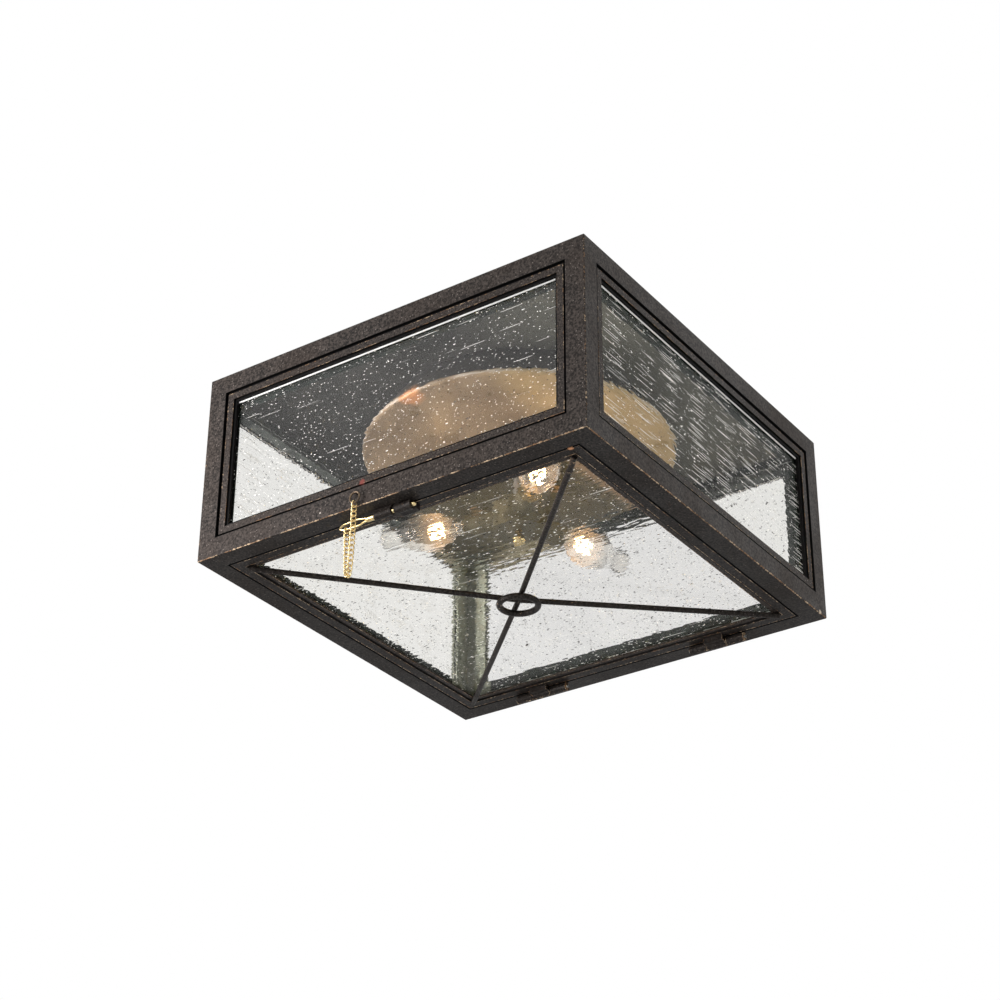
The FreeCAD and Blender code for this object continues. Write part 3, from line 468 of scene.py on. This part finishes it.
# Drawn glass: slow waves, long fine lines and seeds, all along the way in which the sheet was drawn
glassLook = {
    # pale and dim: seeds and lines painted as pale glints and dark specks; lit: painted glow on the pale ones
    "pale": (0.95, 0.95, 0.92),
    "dim": (0.04, 0.04, 0.036),
    "lit": (0.26, 0.255, 0.235),
    "rough": 0.25,
    "cover": 0.9,
    "lineCover": 0.7,
    "paleFrom": 0.46,
    "slow": (7.0, 30.0, 30.0),
    "quick": (62.0, 165.0, 165.0),
    "dashes": (130.0, 360.0, 360.0),
    "lines": (22.0, 820.0, 820.0),
}
paneLook = {
    # shine: strength of the seeds' painted glow, set per pane
    "glassAlongX": {"turn": 0.0, "shift": (0.0, 0.0, 0.0), "waves": 0.00010,
                    "fineness": (270.0, 560.0, 560.0), "seeds": 0.88, "dashes": 0.12, "lines": 0.02,
                    "shine": 1.0, "bend": 1.34, "clear": (0.860, 0.857, 0.850)},
    "glassAlongY": {"turn": 90.0, "shift": (0.3, 0.1, 0.2), "waves": 0.00026,
                    "fineness": (220.0, 500.0, 500.0), "seeds": 0.84, "dashes": 0.10, "lines": 0.92,
                    "shine": 1.15, "bend": 1.10, "clear": (0.925, 0.920, 0.896)},
    "glassDoor": {"turn": 0.0, "shift": (0.7, 0.2, 0.4), "waves": 0.00026,
                  "fineness": (220.0, 480.0, 480.0), "seeds": 0.92, "dashes": 0.66, "lines": 0.06,
                  "shine": 1.90, "bend": 1.15, "clear": (0.905, 0.901, 0.893)},
}


def seedLayer(tree, along, scale, small, large, share):
    far, colour = cells(tree, stretched(tree, along, scale))
    first, second, third = channels(tree, colour)
    size = ramp(tree, first, 0.0, 1.0, small, large)
    seed = ramp(tree, work(tree, "SUBTRACT", far, size), -0.03, 0.0, 1.0, 0.0)
    seed = work(tree, "MULTIPLY", seed, beyond(tree, second, 1.0 - share, 0.01))
    return seed, beyond(tree, third, glassLook["paleFrom"], 0.02)


def seededGlass(name):
    pane = paneLook[name]
    finish, tree, shader, place = newFinish(name)
    along = stretched(tree, place, (1.0, 1.0, 1.0), pane["shift"], pane["turn"])
    slow = grain(tree, stretched(tree, along, glassLook["slow"]), 1.0, 2.0, 0.5)
    quick = grain(tree, stretched(tree, along, glassLook["quick"]), 1.0, 1.0, 0.5)
    fine, finePale = seedLayer(tree, along, pane["fineness"], 0.05, 0.22, pane["seeds"])
    large, largePale = seedLayer(tree, along, glassLook["dashes"], 0.06, 0.22, pane["dashes"])
    line = seedLayer(tree, along, glassLook["lines"], 0.08, 0.32, pane["lines"])[0]
    line = work(tree, "MULTIPLY", line, glassLook["lineCover"])
    spots = most(tree, [fine, large, line])
    pale = most(tree, [product(tree, fine, finePale), product(tree, large, largePale), line])
    # seeds and lines painted as pale glints and dark specks, the pale ones with a painted glow
    shade = tint(tree, pale, glassLook["dim"], glassLook["pale"])
    feed(tree, shader["Base Color"], tint(tree, spots, pane["clear"], shade))
    feed(tree, shader["Emission Color"], tint(tree, pale, (0.0, 0.0, 0.0), glassLook["lit"]))
    shader["Emission Strength"].default_value = pane["shine"]
    cover = work(tree, "MULTIPLY", spots, glassLook["cover"])
    feed(tree, shader["Transmission Weight"], work(tree, "SUBTRACT", 1.0, cover))
    feed(tree, shader["Roughness"], work(tree, "MULTIPLY", spots, glassLook["rough"]))
    shader["IOR"].default_value = pane["bend"]
    wave = relief(tree, slow, pane["waves"])
    wave = relief(tree, quick, pane["waves"] * 1.2, 1.0, wave)
    feed(tree, shader["Normal"], relief(tree, large, 0.00015, 1.0, wave))
    return finish


# Lamp glass: clear, with a faint painted warm glow in it round the wire
lampGlassLook = {
    "clear": ((0.90, 0.89, 0.87), (0.96, 0.955, 0.94)),
    "halo": (0.120, 0.066, 0.028),
    "wireAt": 0.0795,
    "reach": (0.001, 0.018),
}


def clearGlass():
    finish, tree, shader, place = newFinish("lampGlass")
    slow = grain(tree, place, 60.0, 1.0, 0.5)
    feed(tree, shader["Base Color"], mottled(tree, slow, 0.3, 0.7, lampGlassLook["clear"]))
    away = work(tree, "ABSOLUTE", work(tree, "SUBTRACT", fromAxis(tree, place), lampGlassLook["wireAt"]))
    warm = ramp(tree, away, *lampGlassLook["reach"], 1.0, 0.0)
    feed(tree, shader["Emission Color"], tint(tree, warm, (0.0, 0.0, 0.0), lampGlassLook["halo"]))
    shader["Emission Strength"].default_value = 1.0
    shader["Transmission Weight"].default_value = 0.98
    shader["Roughness"].default_value = 0.0
    shader["IOR"].default_value = 1.46
    feed(tree, shader["Normal"], relief(tree, slow, 0.0003, 0.5))
    return finish


# Pan: champagne metal, with painted light and shade: an olive grey painted-shade field on its underside
# towards the left and the back
panLook = {
    "champagne": ((0.250, 0.176, 0.100), (0.345, 0.250, 0.150)),
    # right: painted light on the side towards the right; olive: the painted-shade field; neck: painted shade
    # on the upper wall
    "right": ((0.450, 0.325, 0.150), (0.580, 0.425, 0.220)),
    "olive": ((0.070, 0.060, 0.029), (0.138, 0.117, 0.061)),
    "neck": (0.060, 0.058, 0.052),
    # rim: painted highlight on the rim; glow and lampShine: painted warm reflections of the lamps
    "rim": (0.72, 0.66, 0.56),
    "glow": (0.90, 0.36, 0.12),
    "lampShine": (0.50, 0.27, 0.10),
    "underside": -0.0476,
    "neckFrom": -0.0430,
    "rimFrom": 0.1440,
    "toRight": (0.04, 0.08),
    "oliveEdges": (0.043, 0.005),  # the olive field lies left of the first and behind the second
    # brightPatch: a paler patch of painted light in the painted-shade field
    "brightPatch": ((-0.1496, 0.062, -0.050), 0.008),
    "glowPoint": ((-0.021, -0.140, -0.047), 0.013),
    "shinePoints": (((-0.091, 0.059, -0.048), 0.0055), ((-0.042, 0.071, -0.048), 0.0080),
                    ((-0.001, 0.064, -0.048), 0.0055)),
}


def panSide(tree, place, x, z, cloud):
    side = mottled(tree, cloud, 0.3, 0.7, panLook["champagne"])
    right = mottled(tree, cloud, 0.3, 0.7, panLook["right"])
    # painted light towards the right, painted highlight on the rim, painted shade on the neck, painted warm
    # reflection of a lamp
    side = tint(tree, ramp(tree, x, *panLook["toRight"]), side, right)
    rim = beyond(tree, fromAxis(tree, place), panLook["rimFrom"], 0.0003)
    side = tint(tree, product(tree, rim, ramp(tree, cloud, 0.40, 0.55, 0.1, 0.6)), side, panLook["rim"])
    side = tint(tree, beyond(tree, z, panLook["neckFrom"], 0.001), side, panLook["neck"])
    warm = nearPoint(tree, place, *panLook["glowPoint"], cloud)
    return tint(tree, product(tree, warm, 0.6), side, panLook["glow"])


def panUnder(tree, place, speck, cloud):
    under = mottled(tree, speck, 0.38, 0.66, panLook["olive"])
    # painted warm reflections of the lamps
    shine = most(tree, [nearPoint(tree, place, *spot, cloud) for spot in panLook["shinePoints"]])
    return tint(tree, product(tree, shine, 0.6), under, panLook["lampShine"])


# Share of the olive painted-shade field on the underside, less in a paler painted patch
def paintedShadeField(tree, place, speck, cloud):
    x, y, z = parts(tree, place)
    right, back = panLook["oliveEdges"]
    uneven = work(tree, "ADD", x, work(tree, "MULTIPLY", cloud, 0.014))
    field = product(tree, within(tree, uneven, right, 0.003), beyond(tree, y, back, 0.006),
                    within(tree, z, panLook["underside"], 0.0003))
    patch = nearPoint(tree, stretched(tree, place, (1.7, 1.0, 1.0)), *panLook["brightPatch"], speck)
    return product(tree, field, work(tree, "SUBTRACT", 1.0, work(tree, "MULTIPLY", patch, 0.5)))


def panFinish():
    finish, tree, shader, place = newFinish("panMetal")
    x, y, z = parts(tree, place)
    speck = grain(tree, place, 300.0, 3.0, 0.65)
    cloud = grain(tree, place, 26.0, 3.0, 0.5)
    side, under = panSide(tree, place, x, z, cloud), panUnder(tree, place, speck, cloud)
    feed(tree, shader["Base Color"], tint(tree, paintedShadeField(tree, place, speck, cloud), side, under))
    shader["Metallic"].default_value = 0.08
    shader["Specular IOR Level"].default_value = 0.35
    feed(tree, shader["Roughness"], ramp(tree, cloud, 0.3, 0.7, 0.26, 0.38))
    feed(tree, shader["Normal"], relief(tree, speck, 0.00008, 0.6))
    return finish


def metalFinish(name, first, second, rough, scale=120.0, bump=0.00004):
    finish, tree, shader, place = newFinish(name)
    cloud = grain(tree, place, scale, 3.0, 0.6)
    feed(tree, shader["Base Color"], mottled(tree, cloud, 0.35, 0.65, (first, second)))
    shader["Metallic"].default_value = 1.0
    feed(tree, shader["Roughness"], ramp(tree, cloud, 0.3, 0.7, rough, rough + 0.14))
    feed(tree, shader["Normal"], relief(tree, grain(tree, place, scale * 6.0), bump, 0.6))
    return finish


def capFinish():
    finish, tree, shader, place = newFinish("capBrass")
    thread = work(tree, "SINE", work(tree, "MULTIPLY", fromAxis(tree, place), 2 * math.pi / 0.0026))
    cloud = grain(tree, place, 90.0, 3.0, 0.6)
    feed(tree, shader["Base Color"], tint(tree, cloud, (0.62, 0.46, 0.20), (0.42, 0.30, 0.14)))
    shader["Metallic"].default_value = 1.0
    feed(tree, shader["Roughness"], ramp(tree, cloud, 0.3, 0.7, 0.22, 0.4))
    feed(tree, shader["Normal"], relief(tree, thread, 0.0004, 0.8))
    return finish


def mouldedFinish(name, first, second, rough, scale=80.0):
    finish, tree, shader, place = newFinish(name)
    cloud = grain(tree, place, scale, 3.0, 0.6)
    feed(tree, shader["Base Color"], mottled(tree, cloud, 0.35, 0.65, (first, second)))
    shader["Roughness"].default_value = rough
    feed(tree, shader["Normal"], relief(tree, grain(tree, place, scale * 8.0), 0.00005, 0.5))
    return finish


# Stops: very dark painted shade in front and low down, grey green at the back, painted light by the far post
# and at the far corner, and along their outer edges the grey of the panes' ground edges
stopLook = {
    "back": ((0.050, 0.060, 0.054), (0.085, 0.096, 0.086)),
    "front": ((0.004, 0.008, 0.006), (0.016, 0.026, 0.021)),
    "edge": (0.42, 0.46, 0.43),
    "fromFront": 0.16,
    "fromPost": 0.1650,
    "low": -0.10,
    "edgeFrom": (0.0749, 0.18),
}


def stopFinish():
    finish, tree, shader, place = newFinish("stopPaint")
    x, y, z = parts(tree, place)
    cloud = grain(tree, place, 150.0, 3.0, 0.6)
    front, post = stopLook["fromFront"], stopLook["fromPost"]
    low = within(tree, z, stopLook["low"], 0.02)
    # painted shade in front and low down
    dark = most(tree, [beyond(tree, x, front), within(tree, y, -front), low])
    back = mottled(tree, cloud, 0.35, 0.65, stopLook["back"])
    # painted light at the far corner
    back = tint(tree, farCorner(tree, x, y), back, bronzeLook["farTop"])
    base = tint(tree, dark, back, mottled(tree, cloud, 0.35, 0.65, stopLook["front"]))
    # painted light by the far post
    pale = product(tree, within(tree, x, -post), beyond(tree, y, post))
    pale = product(tree, pale, ramp(tree, cloud, 0.35, 0.60, 0.4, 1.0))
    base = tint(tree, pale, base, bronzeLook["farPost"])
    reach = work(tree, "MAXIMUM", work(tree, "ABSOLUTE", x), work(tree, "ABSOLUTE", y))
    rise = work(tree, "ABSOLUTE", work(tree, "ADD", z, height / 2))
    above, out = stopLook["edgeFrom"]
    edge = product(tree, beyond(tree, rise, above), beyond(tree, reach, out))
    feed(tree, shader["Base Color"], tint(tree, edge, base, stopLook["edge"]))
    shader["Roughness"].default_value = 0.5
    shader["Specular IOR Level"].default_value = 0.2
    feed(tree, shader["Normal"], relief(tree, cloud, 0.0002, 0.5))
    return finish


def glowFinish():
    finish, tree, shader, place = newFinish("hotWire")
    cloud = grain(tree, place, 300.0, 2.0, 0.5)
    feed(tree, shader["Base Color"], tint(tree, cloud, (0.9, 0.8, 0.6), (0.7, 0.6, 0.5)))
    feed(tree, shader["Emission Color"], tint(tree, cloud, (1.0, 0.66, 0.30), (1.0, 0.74, 0.40)))
    shader["Emission Strength"].default_value = 44.0
    return finish


finishes = {
    "roof": roofFinish(),
    "glassAlongX": seededGlass("glassAlongX"),
    "glassAlongY": seededGlass("glassAlongY"),
    "glassDoor": seededGlass("glassDoor"),
    "lampGlass": clearGlass(),
    "pan": panFinish(),
    "brass": metalFinish("brass", (0.86, 0.69, 0.36), (0.74, 0.56, 0.27), 0.16),
    "darkWire": metalFinish("darkWire", (0.10, 0.075, 0.055), (0.20, 0.145, 0.095), 0.30),
    "zinc": metalFinish("zincSteel", (0.52, 0.53, 0.52), (0.40, 0.41, 0.41), 0.3),
    "cap": capFinish(),
    "phenolic": mouldedFinish("phenolic", (0.100, 0.084, 0.040), (0.160, 0.135, 0.070), 0.45),
    "hub": mouldedFinish("hubPaint", (0.105, 0.088, 0.042), (0.170, 0.144, 0.074), 0.35),
    "clip": mouldedFinish("clipPaint", (0.012, 0.014, 0.011), (0.030, 0.032, 0.026), 0.5),
    "lead": mouldedFinish("leadSleeve", (0.70, 0.67, 0.60), (0.62, 0.59, 0.52), 0.5),
    "hotWire": glowFinish(),
    "mica": mouldedFinish("stemGlass", (0.75, 0.75, 0.72), (0.66, 0.66, 0.62), 0.25),
    "sealant": mouldedFinish("sealant", (0.82, 0.83, 0.82), (0.70, 0.71, 0.70), 0.3),
    "stop": stopFinish(),
    "hinge": hingePaint,
    "rod": rodPaint,
}

finishOfNode = {"roof_plate": "roof", "mounting_strap": "zinc", "stem_tube": "zinc", "stem_nuts": "zinc",
                "door_glass_clips": "clip", "hinge_pins": "zinc", "reflector_pan": "pan", "lamp_hub": "hub",
                "hub_cover": "hub", "hub_finial": "brass", "lead_wires": "lead", "door_glass": "glassDoor",
                "window_stops": "stop", "hinge_knuckles_fixed": "hinge", "hinge_knuckles_door": "hinge",
                "brace_rod_through": "rod", "brace_rod_halves": "rod", "brace_ring": "rod",
                "latch_pin": "brass", "latch_pin_loop": "brass", "chain_eye": "darkWire", "chain": "brass"}
for index, sideName in enumerate(sideNames):
    finishOfNode["window_glass_" + sideName] = "glassAlongX" if index % 2 == 0 else "glassAlongY"
for lamp in ("1", "2", "3"):
    finishOfNode["socket_" + lamp] = "phenolic"
    finishOfNode["bulb_cap_" + lamp] = "cap"
    finishOfNode["bulb_glass_" + lamp] = "lampGlass"
    finishOfNode["bulb_filament_" + lamp] = "hotWire"


def paintFor(name):
    if name in finishOfNode:
        return finishes[finishOfNode[name]]
    if name.startswith(("corner_post", "top_rail", "bottom_rail")):
        return boxPaint
    if name.startswith("window_frame"):
        return beadPaint
    if name.startswith("door_rail"):
        return doorPaint
    return rodPaint


for name, node in nodes.items():
    node.data.materials.clear()
    node.data.materials.append(paintFor(name))
    if "glass" in name and "clips" not in name:
        node.visible_shadow = False  # lets plain lamp light through the panes
print("finishes on", len(nodes), "nodes")


# Shared steps for the pieces made here
def chooseOnly(*pieces):
    bpy.ops.object.select_all(action="DESELECT")
    for piece in pieces:
        piece.select_set(True)
    if pieces:
        bpy.context.view_layer.objects.active = pieces[0]


def keepPiece(piece, name, body, finish):
    chooseOnly(piece)
    bpy.ops.object.transform_apply(location=True, rotation=True, scale=True)
    piece.name = name
    piece.data.name = name
    piece.data.materials.clear()
    piece.data.materials.append(finish)
    if body:
        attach(piece, body)
    return piece


def wireOf(points, radius, closed=False, sides=3, order=3):
    curve = bpy.data.curves.new("wire", "CURVE")
    curve.dimensions = "3D"
    spline = curve.splines.new("NURBS")
    spline.points.add(len(points) - 1)
    for knot, point in zip(spline.points, points):
        knot.co = (*point, 1.0)
    spline.order_u = order
    spline.use_endpoint_u = not closed
    spline.use_cyclic_u = closed
    curve.bevel_depth = radius
    curve.bevel_resolution = sides
    curve.resolution_u = 4
    curve.use_fill_caps = True
    wire = bpy.data.objects.new("wire", curve)
    scene.collection.objects.link(wire)
    chooseOnly(wire)
    bpy.ops.object.convert(target="MESH")
    bpy.ops.object.shade_smooth()
    return bpy.context.object


# Lamp insides: a pinched glass stem, two posts and a caged wire that glows
filamentSizes = {
    "glassStart": 0.0525,
    "stemLength": 0.017,
    "stemRadius": 0.0019,
    "cageStart": 0.0735,
    "cageEnd": 0.0865,
    "cageRadius": 0.0060,
    "strands": 9,
    "wireRadius": 0.00055,
    "postRadius": 0.00032,
    "postKnots": ((0.012, 0.0009), (0.019, 0.0012), (0.020, 0.0040)),
    "postOver": 0.0006,
    "level": -0.112,
}


def lampInsides(number, angle):
    f = filamentSizes
    cage = []
    for strand in range(f["strands"]):
        turn = 2 * math.pi * strand / f["strands"]
        across, upright = f["cageRadius"] * math.cos(turn), f["cageRadius"] * math.sin(turn)
        ends = (f["cageStart"], f["cageEnd"]) if strand % 2 == 0 else (f["cageEnd"], f["cageStart"])
        cage.extend([(ends[0], across, upright), (ends[1], across, upright)])
    glow = wireOf(cage, f["wireRadius"], order=3, sides=2)
    posts = []
    for sign in (-1, 1):
        run = [(f["glassStart"] + along, sign * aside, 0.0) for along, aside in f["postKnots"]]
        run.append((f["cageStart"] + f["postOver"], sign * f["cageRadius"], 0.0))
        posts.append(wireOf(run, f["postRadius"]))
    chooseOnly(*posts)
    bpy.ops.object.join()
    posts = bpy.context.object
    chooseOnly()
    bpy.ops.mesh.primitive_cylinder_add(vertices=24, radius=f["stemRadius"], depth=f["stemLength"],
                                        location=(f["glassStart"] + f["stemLength"] / 2, 0, 0),
                                        rotation=(0, math.pi / 2, 0))
    stem = bpy.context.object
    bpy.ops.object.transform_apply(location=True, rotation=True, scale=True)
    bpy.ops.object.mode_set(mode="EDIT")
    bpy.ops.mesh.select_all(action="DESELECT")
    bpy.ops.object.mode_set(mode="OBJECT")
    far = f["glassStart"] + f["stemLength"]
    for point in stem.data.vertices:
        point.select = abs(point.co.x - far) < 1e-5
    bpy.ops.object.mode_set(mode="EDIT")
    bpy.ops.transform.resize(value=(1.0, 1.0, 0.35))
    bpy.ops.mesh.select_all(action="SELECT")
    bpy.ops.mesh.bevel(offset=0.0004, segments=2)
    bpy.ops.object.mode_set(mode="OBJECT")
    bpy.ops.object.shade_smooth_by_angle(angle=0.8)
    made = []
    for piece, name, finish in ((glow, "lamp_coil_", "hotWire"), (posts, "lamp_posts_", "zinc"),
                                (stem, "lamp_stem_", "mica")):
        piece.rotation_euler = (0.0, 0.0, math.radians(angle))
        piece.location = (0.0, 0.0, f["level"])
        made.append(keepPiece(piece, name + str(number), "box", finishes[finish]))
    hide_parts("bulb_filament_" + str(number))
    return made


for number, angle in enumerate(lampAngles, start=1):
    lampInsides(number, angle)
print("lamp insides made")


# Curb chain: one twisted link, copied along a catenary from the eye to the pin's loop
chainSizes = {
    "eyeHook": (-0.026, -0.2062, -0.1855),
    "loopHook": (-0.0486, -0.187, -0.1953),
    "links": 28,
    "linkLength": 0.0071,
    "linkWidth": 0.0052,
    "wire": 0.0006,
    "eyeWire": 0.0009,
    "loopWire": 0.0009,
    "play": 0.0003,
    "twist": 90.0,
    "pullShape": 1.3,
    "longBase": 20.0,  # a base far longer than a link
}


def curbLink():
    c = chainSizes
    ring = c["linkWidth"] / 2 - c["wire"]
    chooseOnly()
    bpy.ops.mesh.primitive_torus_add(major_segments=28, minor_segments=8, major_radius=ring,
                                     minor_radius=c["wire"])
    link = bpy.context.object
    stretch = (c["linkLength"] - c["linkWidth"]) / 2
    for sign in (1, -1):
        for point in link.data.vertices:
            if sign * point.co.x > 1e-6:
                point.co.x += sign * stretch
    twist = link.modifiers.new("twist", "SIMPLE_DEFORM")
    twist.deform_method = "TWIST"
    twist.deform_axis = "X"
    twist.angle = math.radians(c["twist"])
    bpy.ops.object.modifier_apply(modifier="twist")
    bpy.ops.object.shade_smooth()
    return link


def catenaryScale(length, across, fall):
    wanted = math.sqrt(length * length - fall * fall)
    low, high = across / 60, across * 20
    for halving in range(80):
        middle = (low + high) / 2
        if 2 * middle * math.sinh(across / (2 * middle)) > wanted:
            low = middle
        else:
            high = middle
    return (low + high) / 2


def hangChain():
    c = chainSizes
    start, end = Vector(c["eyeHook"]), Vector(c["loopHook"])
    pitch = c["linkLength"] - 4 * c["wire"] - c["play"]
    bar = c["linkLength"] / 2 - c["wire"]
    first = bar - c["wire"] - c["eyeWire"] - c["play"] / 2
    last = bar - c["wire"] - c["loopWire"] - c["play"] / 2
    length = first + last + (c["links"] - 1) * pitch
    level = Vector((end.x - start.x, end.y - start.y, 0.0))
    across, fall = level.length, end.z - start.z
    level.normalize()
    scale = catenaryScale(length, across, fall)
    lowest = across / 2 - scale * math.atanh(fall / length)
    startArc, startRise = scale * math.sinh(-lowest / scale), scale * math.cosh(-lowest / scale)

    def pointAt(distance):
        run = scale * math.asinh((startArc + distance) / scale)
        return start + level * (run + lowest) + Vector((0, 0, scale * math.cosh(run / scale) - startRise))

    def courseAt(distance):
        return (pointAt(distance + pitch / 4) - pointAt(distance - pitch / 4)).normalized()

    sideways = Vector((0, 0, 1)).cross(level)

    def rollTowards(distance, wanted):
        return math.degrees(math.atan2(wanted.dot(courseAt(distance).cross(sideways)), wanted.dot(sideways)))

    master = curbLink()
    places = [first + index * pitch for index in range(c["links"])]
    firstRoll = rollTowards(places[0], Vector((1, 0, 0))) + c["twist"] / 2
    lastRoll = rollTowards(places[-1], Vector((1, 0, 0))) - c["twist"] / 2
    spare = (lastRoll - firstRoll + 90) % 180 - 90
    for index, distance in enumerate(places):
        course = courseAt(distance)
        roll = math.radians(firstRoll + spare * index / (c["links"] - 1))
        normal = sideways * math.cos(roll) + course.cross(sideways) * math.sin(roll)
        stand = Matrix((course, normal.cross(course), normal)).transposed().to_4x4()
        stand.translation = pointAt(distance)
        link = master.copy()
        link.data = master.data.copy()
        scene.collection.objects.link(link)
        link.data.transform(stand)
        keepPiece(link, "chain_link_%02d" % (index + 1), None, finishes["brass"])
        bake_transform(link)
    bpy.data.objects.remove(master)
    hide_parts("chain")


hangChain()


# Sealant along the top of each pane, in the corner under the lip
sealSizes = {
    "half": 0.1722,
    "glassFace": 0.1970,
    "lip": -0.0305,
    "bead": 0.0010,
}


def sealBead():
    s = sealSizes
    for index, sideName in enumerate(sideNames):
        chooseOnly()
        bpy.ops.mesh.primitive_cube_add(size=1.0, location=(0.0, -s["glassFace"] - s["bead"] / 2,
                                                            s["lip"] - s["bead"] / 2))
        bead = bpy.context.object
        bead.scale = (2 * s["half"], s["bead"], s["bead"])
        bpy.ops.object.transform_apply(location=True, rotation=True, scale=True)
        bpy.ops.object.mode_set(mode="EDIT")
        bpy.ops.mesh.select_all(action="DESELECT")
        bpy.ops.mesh.select_mode(type="EDGE")
        bpy.ops.object.mode_set(mode="OBJECT")
        for edge in bead.data.edges:
            ends = [bead.data.vertices[spot].co for spot in edge.vertices]
            edge.select = all(end.y < -s["glassFace"] - s["bead"] / 2 and end.z < s["lip"] - s["bead"] / 2
                              for end in ends)
        bpy.ops.object.mode_set(mode="EDIT")
        bpy.ops.mesh.bevel(offset=s["bead"] * 0.8, segments=3, profile=0.4)
        bpy.ops.mesh.select_mode(type="VERT")
        bpy.ops.object.mode_set(mode="OBJECT")
        bpy.ops.object.shade_smooth_by_angle(angle=0.8)
        bead.rotation_euler = (0.0, 0.0, index * math.pi / 2)
        keepPiece(bead, "seal_" + sideName, "box", finishes["sealant"])


sealBead()
print("sealant laid")


# Rod ends: the weld that holds each brace rod to the door
rodSizes = {
    "cross": -0.19685,
    "end": (0.1725, -0.18935),
    "radius": 0.0025,
    "length": 0.020,
    "inset": 0.0025,
    "sleeve": 1.04,
    "collar": 1.16,
    "collarLength": 0.002,
}


def rodEnds():
    r = rodSizes
    out, low = r["end"]
    for index in range(4):
        turn = math.radians(45 + 90 * index)
        outward = Vector((math.cos(turn), math.sin(turn), 0.0))
        tip = outward * (out * math.sqrt(2) - r["inset"]) + Vector((0, 0, low))
        course = (Vector((0, 0, r["cross"])) - tip).normalized()
        chooseOnly()
        bpy.ops.mesh.primitive_cylinder_add(vertices=20, radius=r["radius"] * r["sleeve"], depth=r["length"],
                                            location=tip + course * (r["length"] / 2))
        sleeve = bpy.context.object
        sleeve.rotation_mode = "QUATERNION"
        sleeve.rotation_quaternion = course.to_track_quat("Z", "Y")
        bpy.context.view_layer.update()
        bpy.ops.object.transform_apply(location=False, rotation=False, scale=True)
        bpy.ops.object.mode_set(mode="EDIT")
        bpy.ops.mesh.select_all(action="DESELECT")
        bpy.ops.mesh.select_mode(type="FACE")
        bpy.ops.object.mode_set(mode="OBJECT")
        for face in sleeve.data.polygons:
            face.select = face.normal.z > 0.9
        bpy.ops.object.mode_set(mode="EDIT")
        bpy.ops.mesh.extrude_region_move(TRANSFORM_OT_translate={"value": (0, 0, 0)})
        bpy.ops.transform.resize(value=(r["collar"], r["collar"], 1.0))
        tipward = tuple(course * r["collarLength"])
        bpy.ops.mesh.extrude_region_move(TRANSFORM_OT_translate={"value": tipward})
        bpy.ops.mesh.select_mode(type="VERT")
        bpy.ops.object.mode_set(mode="OBJECT")
        bpy.ops.object.shade_smooth_by_angle(angle=0.8)
        paint = weldPaint if index == 3 else rodPaint
        keepPiece(sleeve, "rod_end_%d" % (index + 1), "door", paint)


rodEnds()
print("rod ends made")


# Studio: white world, pale floor and two soft lamps
studioSetup = {
    "around": 0.62,
    "floorLevel": -1.6,
    "floorRadius": 9.0,
    "lookAt": (0.0, 0.0, -0.1),
    "lamps": (("keyLamp", (-0.58, -0.66, -0.22), 0.5, 7.5, (1.0, 0.94, 0.93)),
              ("sideLamp", (2.3, -0.5, -0.2), 1.4, 3.5, (1.0, 0.92, 0.74)),
              ("lowLamp", (0.9, -1.2, -1.35), 0.9, 2.0, (1.0, 1.0, 1.0))),
}


def seenWhite(tree):
    path = tree.nodes.new("ShaderNodeLightPath")
    seen = work(tree, "MAXIMUM", path.outputs["Is Camera Ray"], path.outputs["Is Glossy Ray"])
    return work(tree, "MAXIMUM", seen, path.outputs["Is Transmission Ray"])


def buildStudio():
    s = studioSetup
    world = bpy.data.worlds.new("studioWorld")
    scene.world = world
    world.use_nodes = True
    tree = world.node_tree
    back = tree.nodes["Background"]
    back.inputs["Color"].default_value = (1.0, 1.0, 1.0, 1.0)
    feed(tree, back.inputs["Strength"], ramp(tree, seenWhite(tree), 0.0, 1.0, s["around"], 1.0))
    chooseOnly()
    bpy.ops.mesh.primitive_circle_add(vertices=96, radius=s["floorRadius"], fill_type="NGON",
                                      location=(0, 0, s["floorLevel"]))
    floor = bpy.context.object
    floor.name = "paleFloor"
    finish, tree, shader, place = newFinish("paleFloor")
    soft = grain(tree, place, 3.0, 3.0, 0.5)
    feed(tree, shader["Base Color"], tint(tree, soft, (0.86, 0.86, 0.86), (0.90, 0.90, 0.90)))
    shader["Roughness"].default_value = 0.9
    floor.data.materials.append(finish)
    for name, spot, size, power, shade in s["lamps"]:
        bpy.ops.object.light_add(type="AREA", location=spot)
        lamp = bpy.context.object
        lamp.name = name
        lamp.data.shape = "DISK"
        lamp.data.size = size
        lamp.data.energy = power
        lamp.data.color = shade
        lamp.rotation_mode = "QUATERNION"
        lamp.rotation_quaternion = (Vector(s["lookAt"]) - Vector(spot)).to_track_quat("-Z", "Y")
    print("studio lit")


buildStudio()
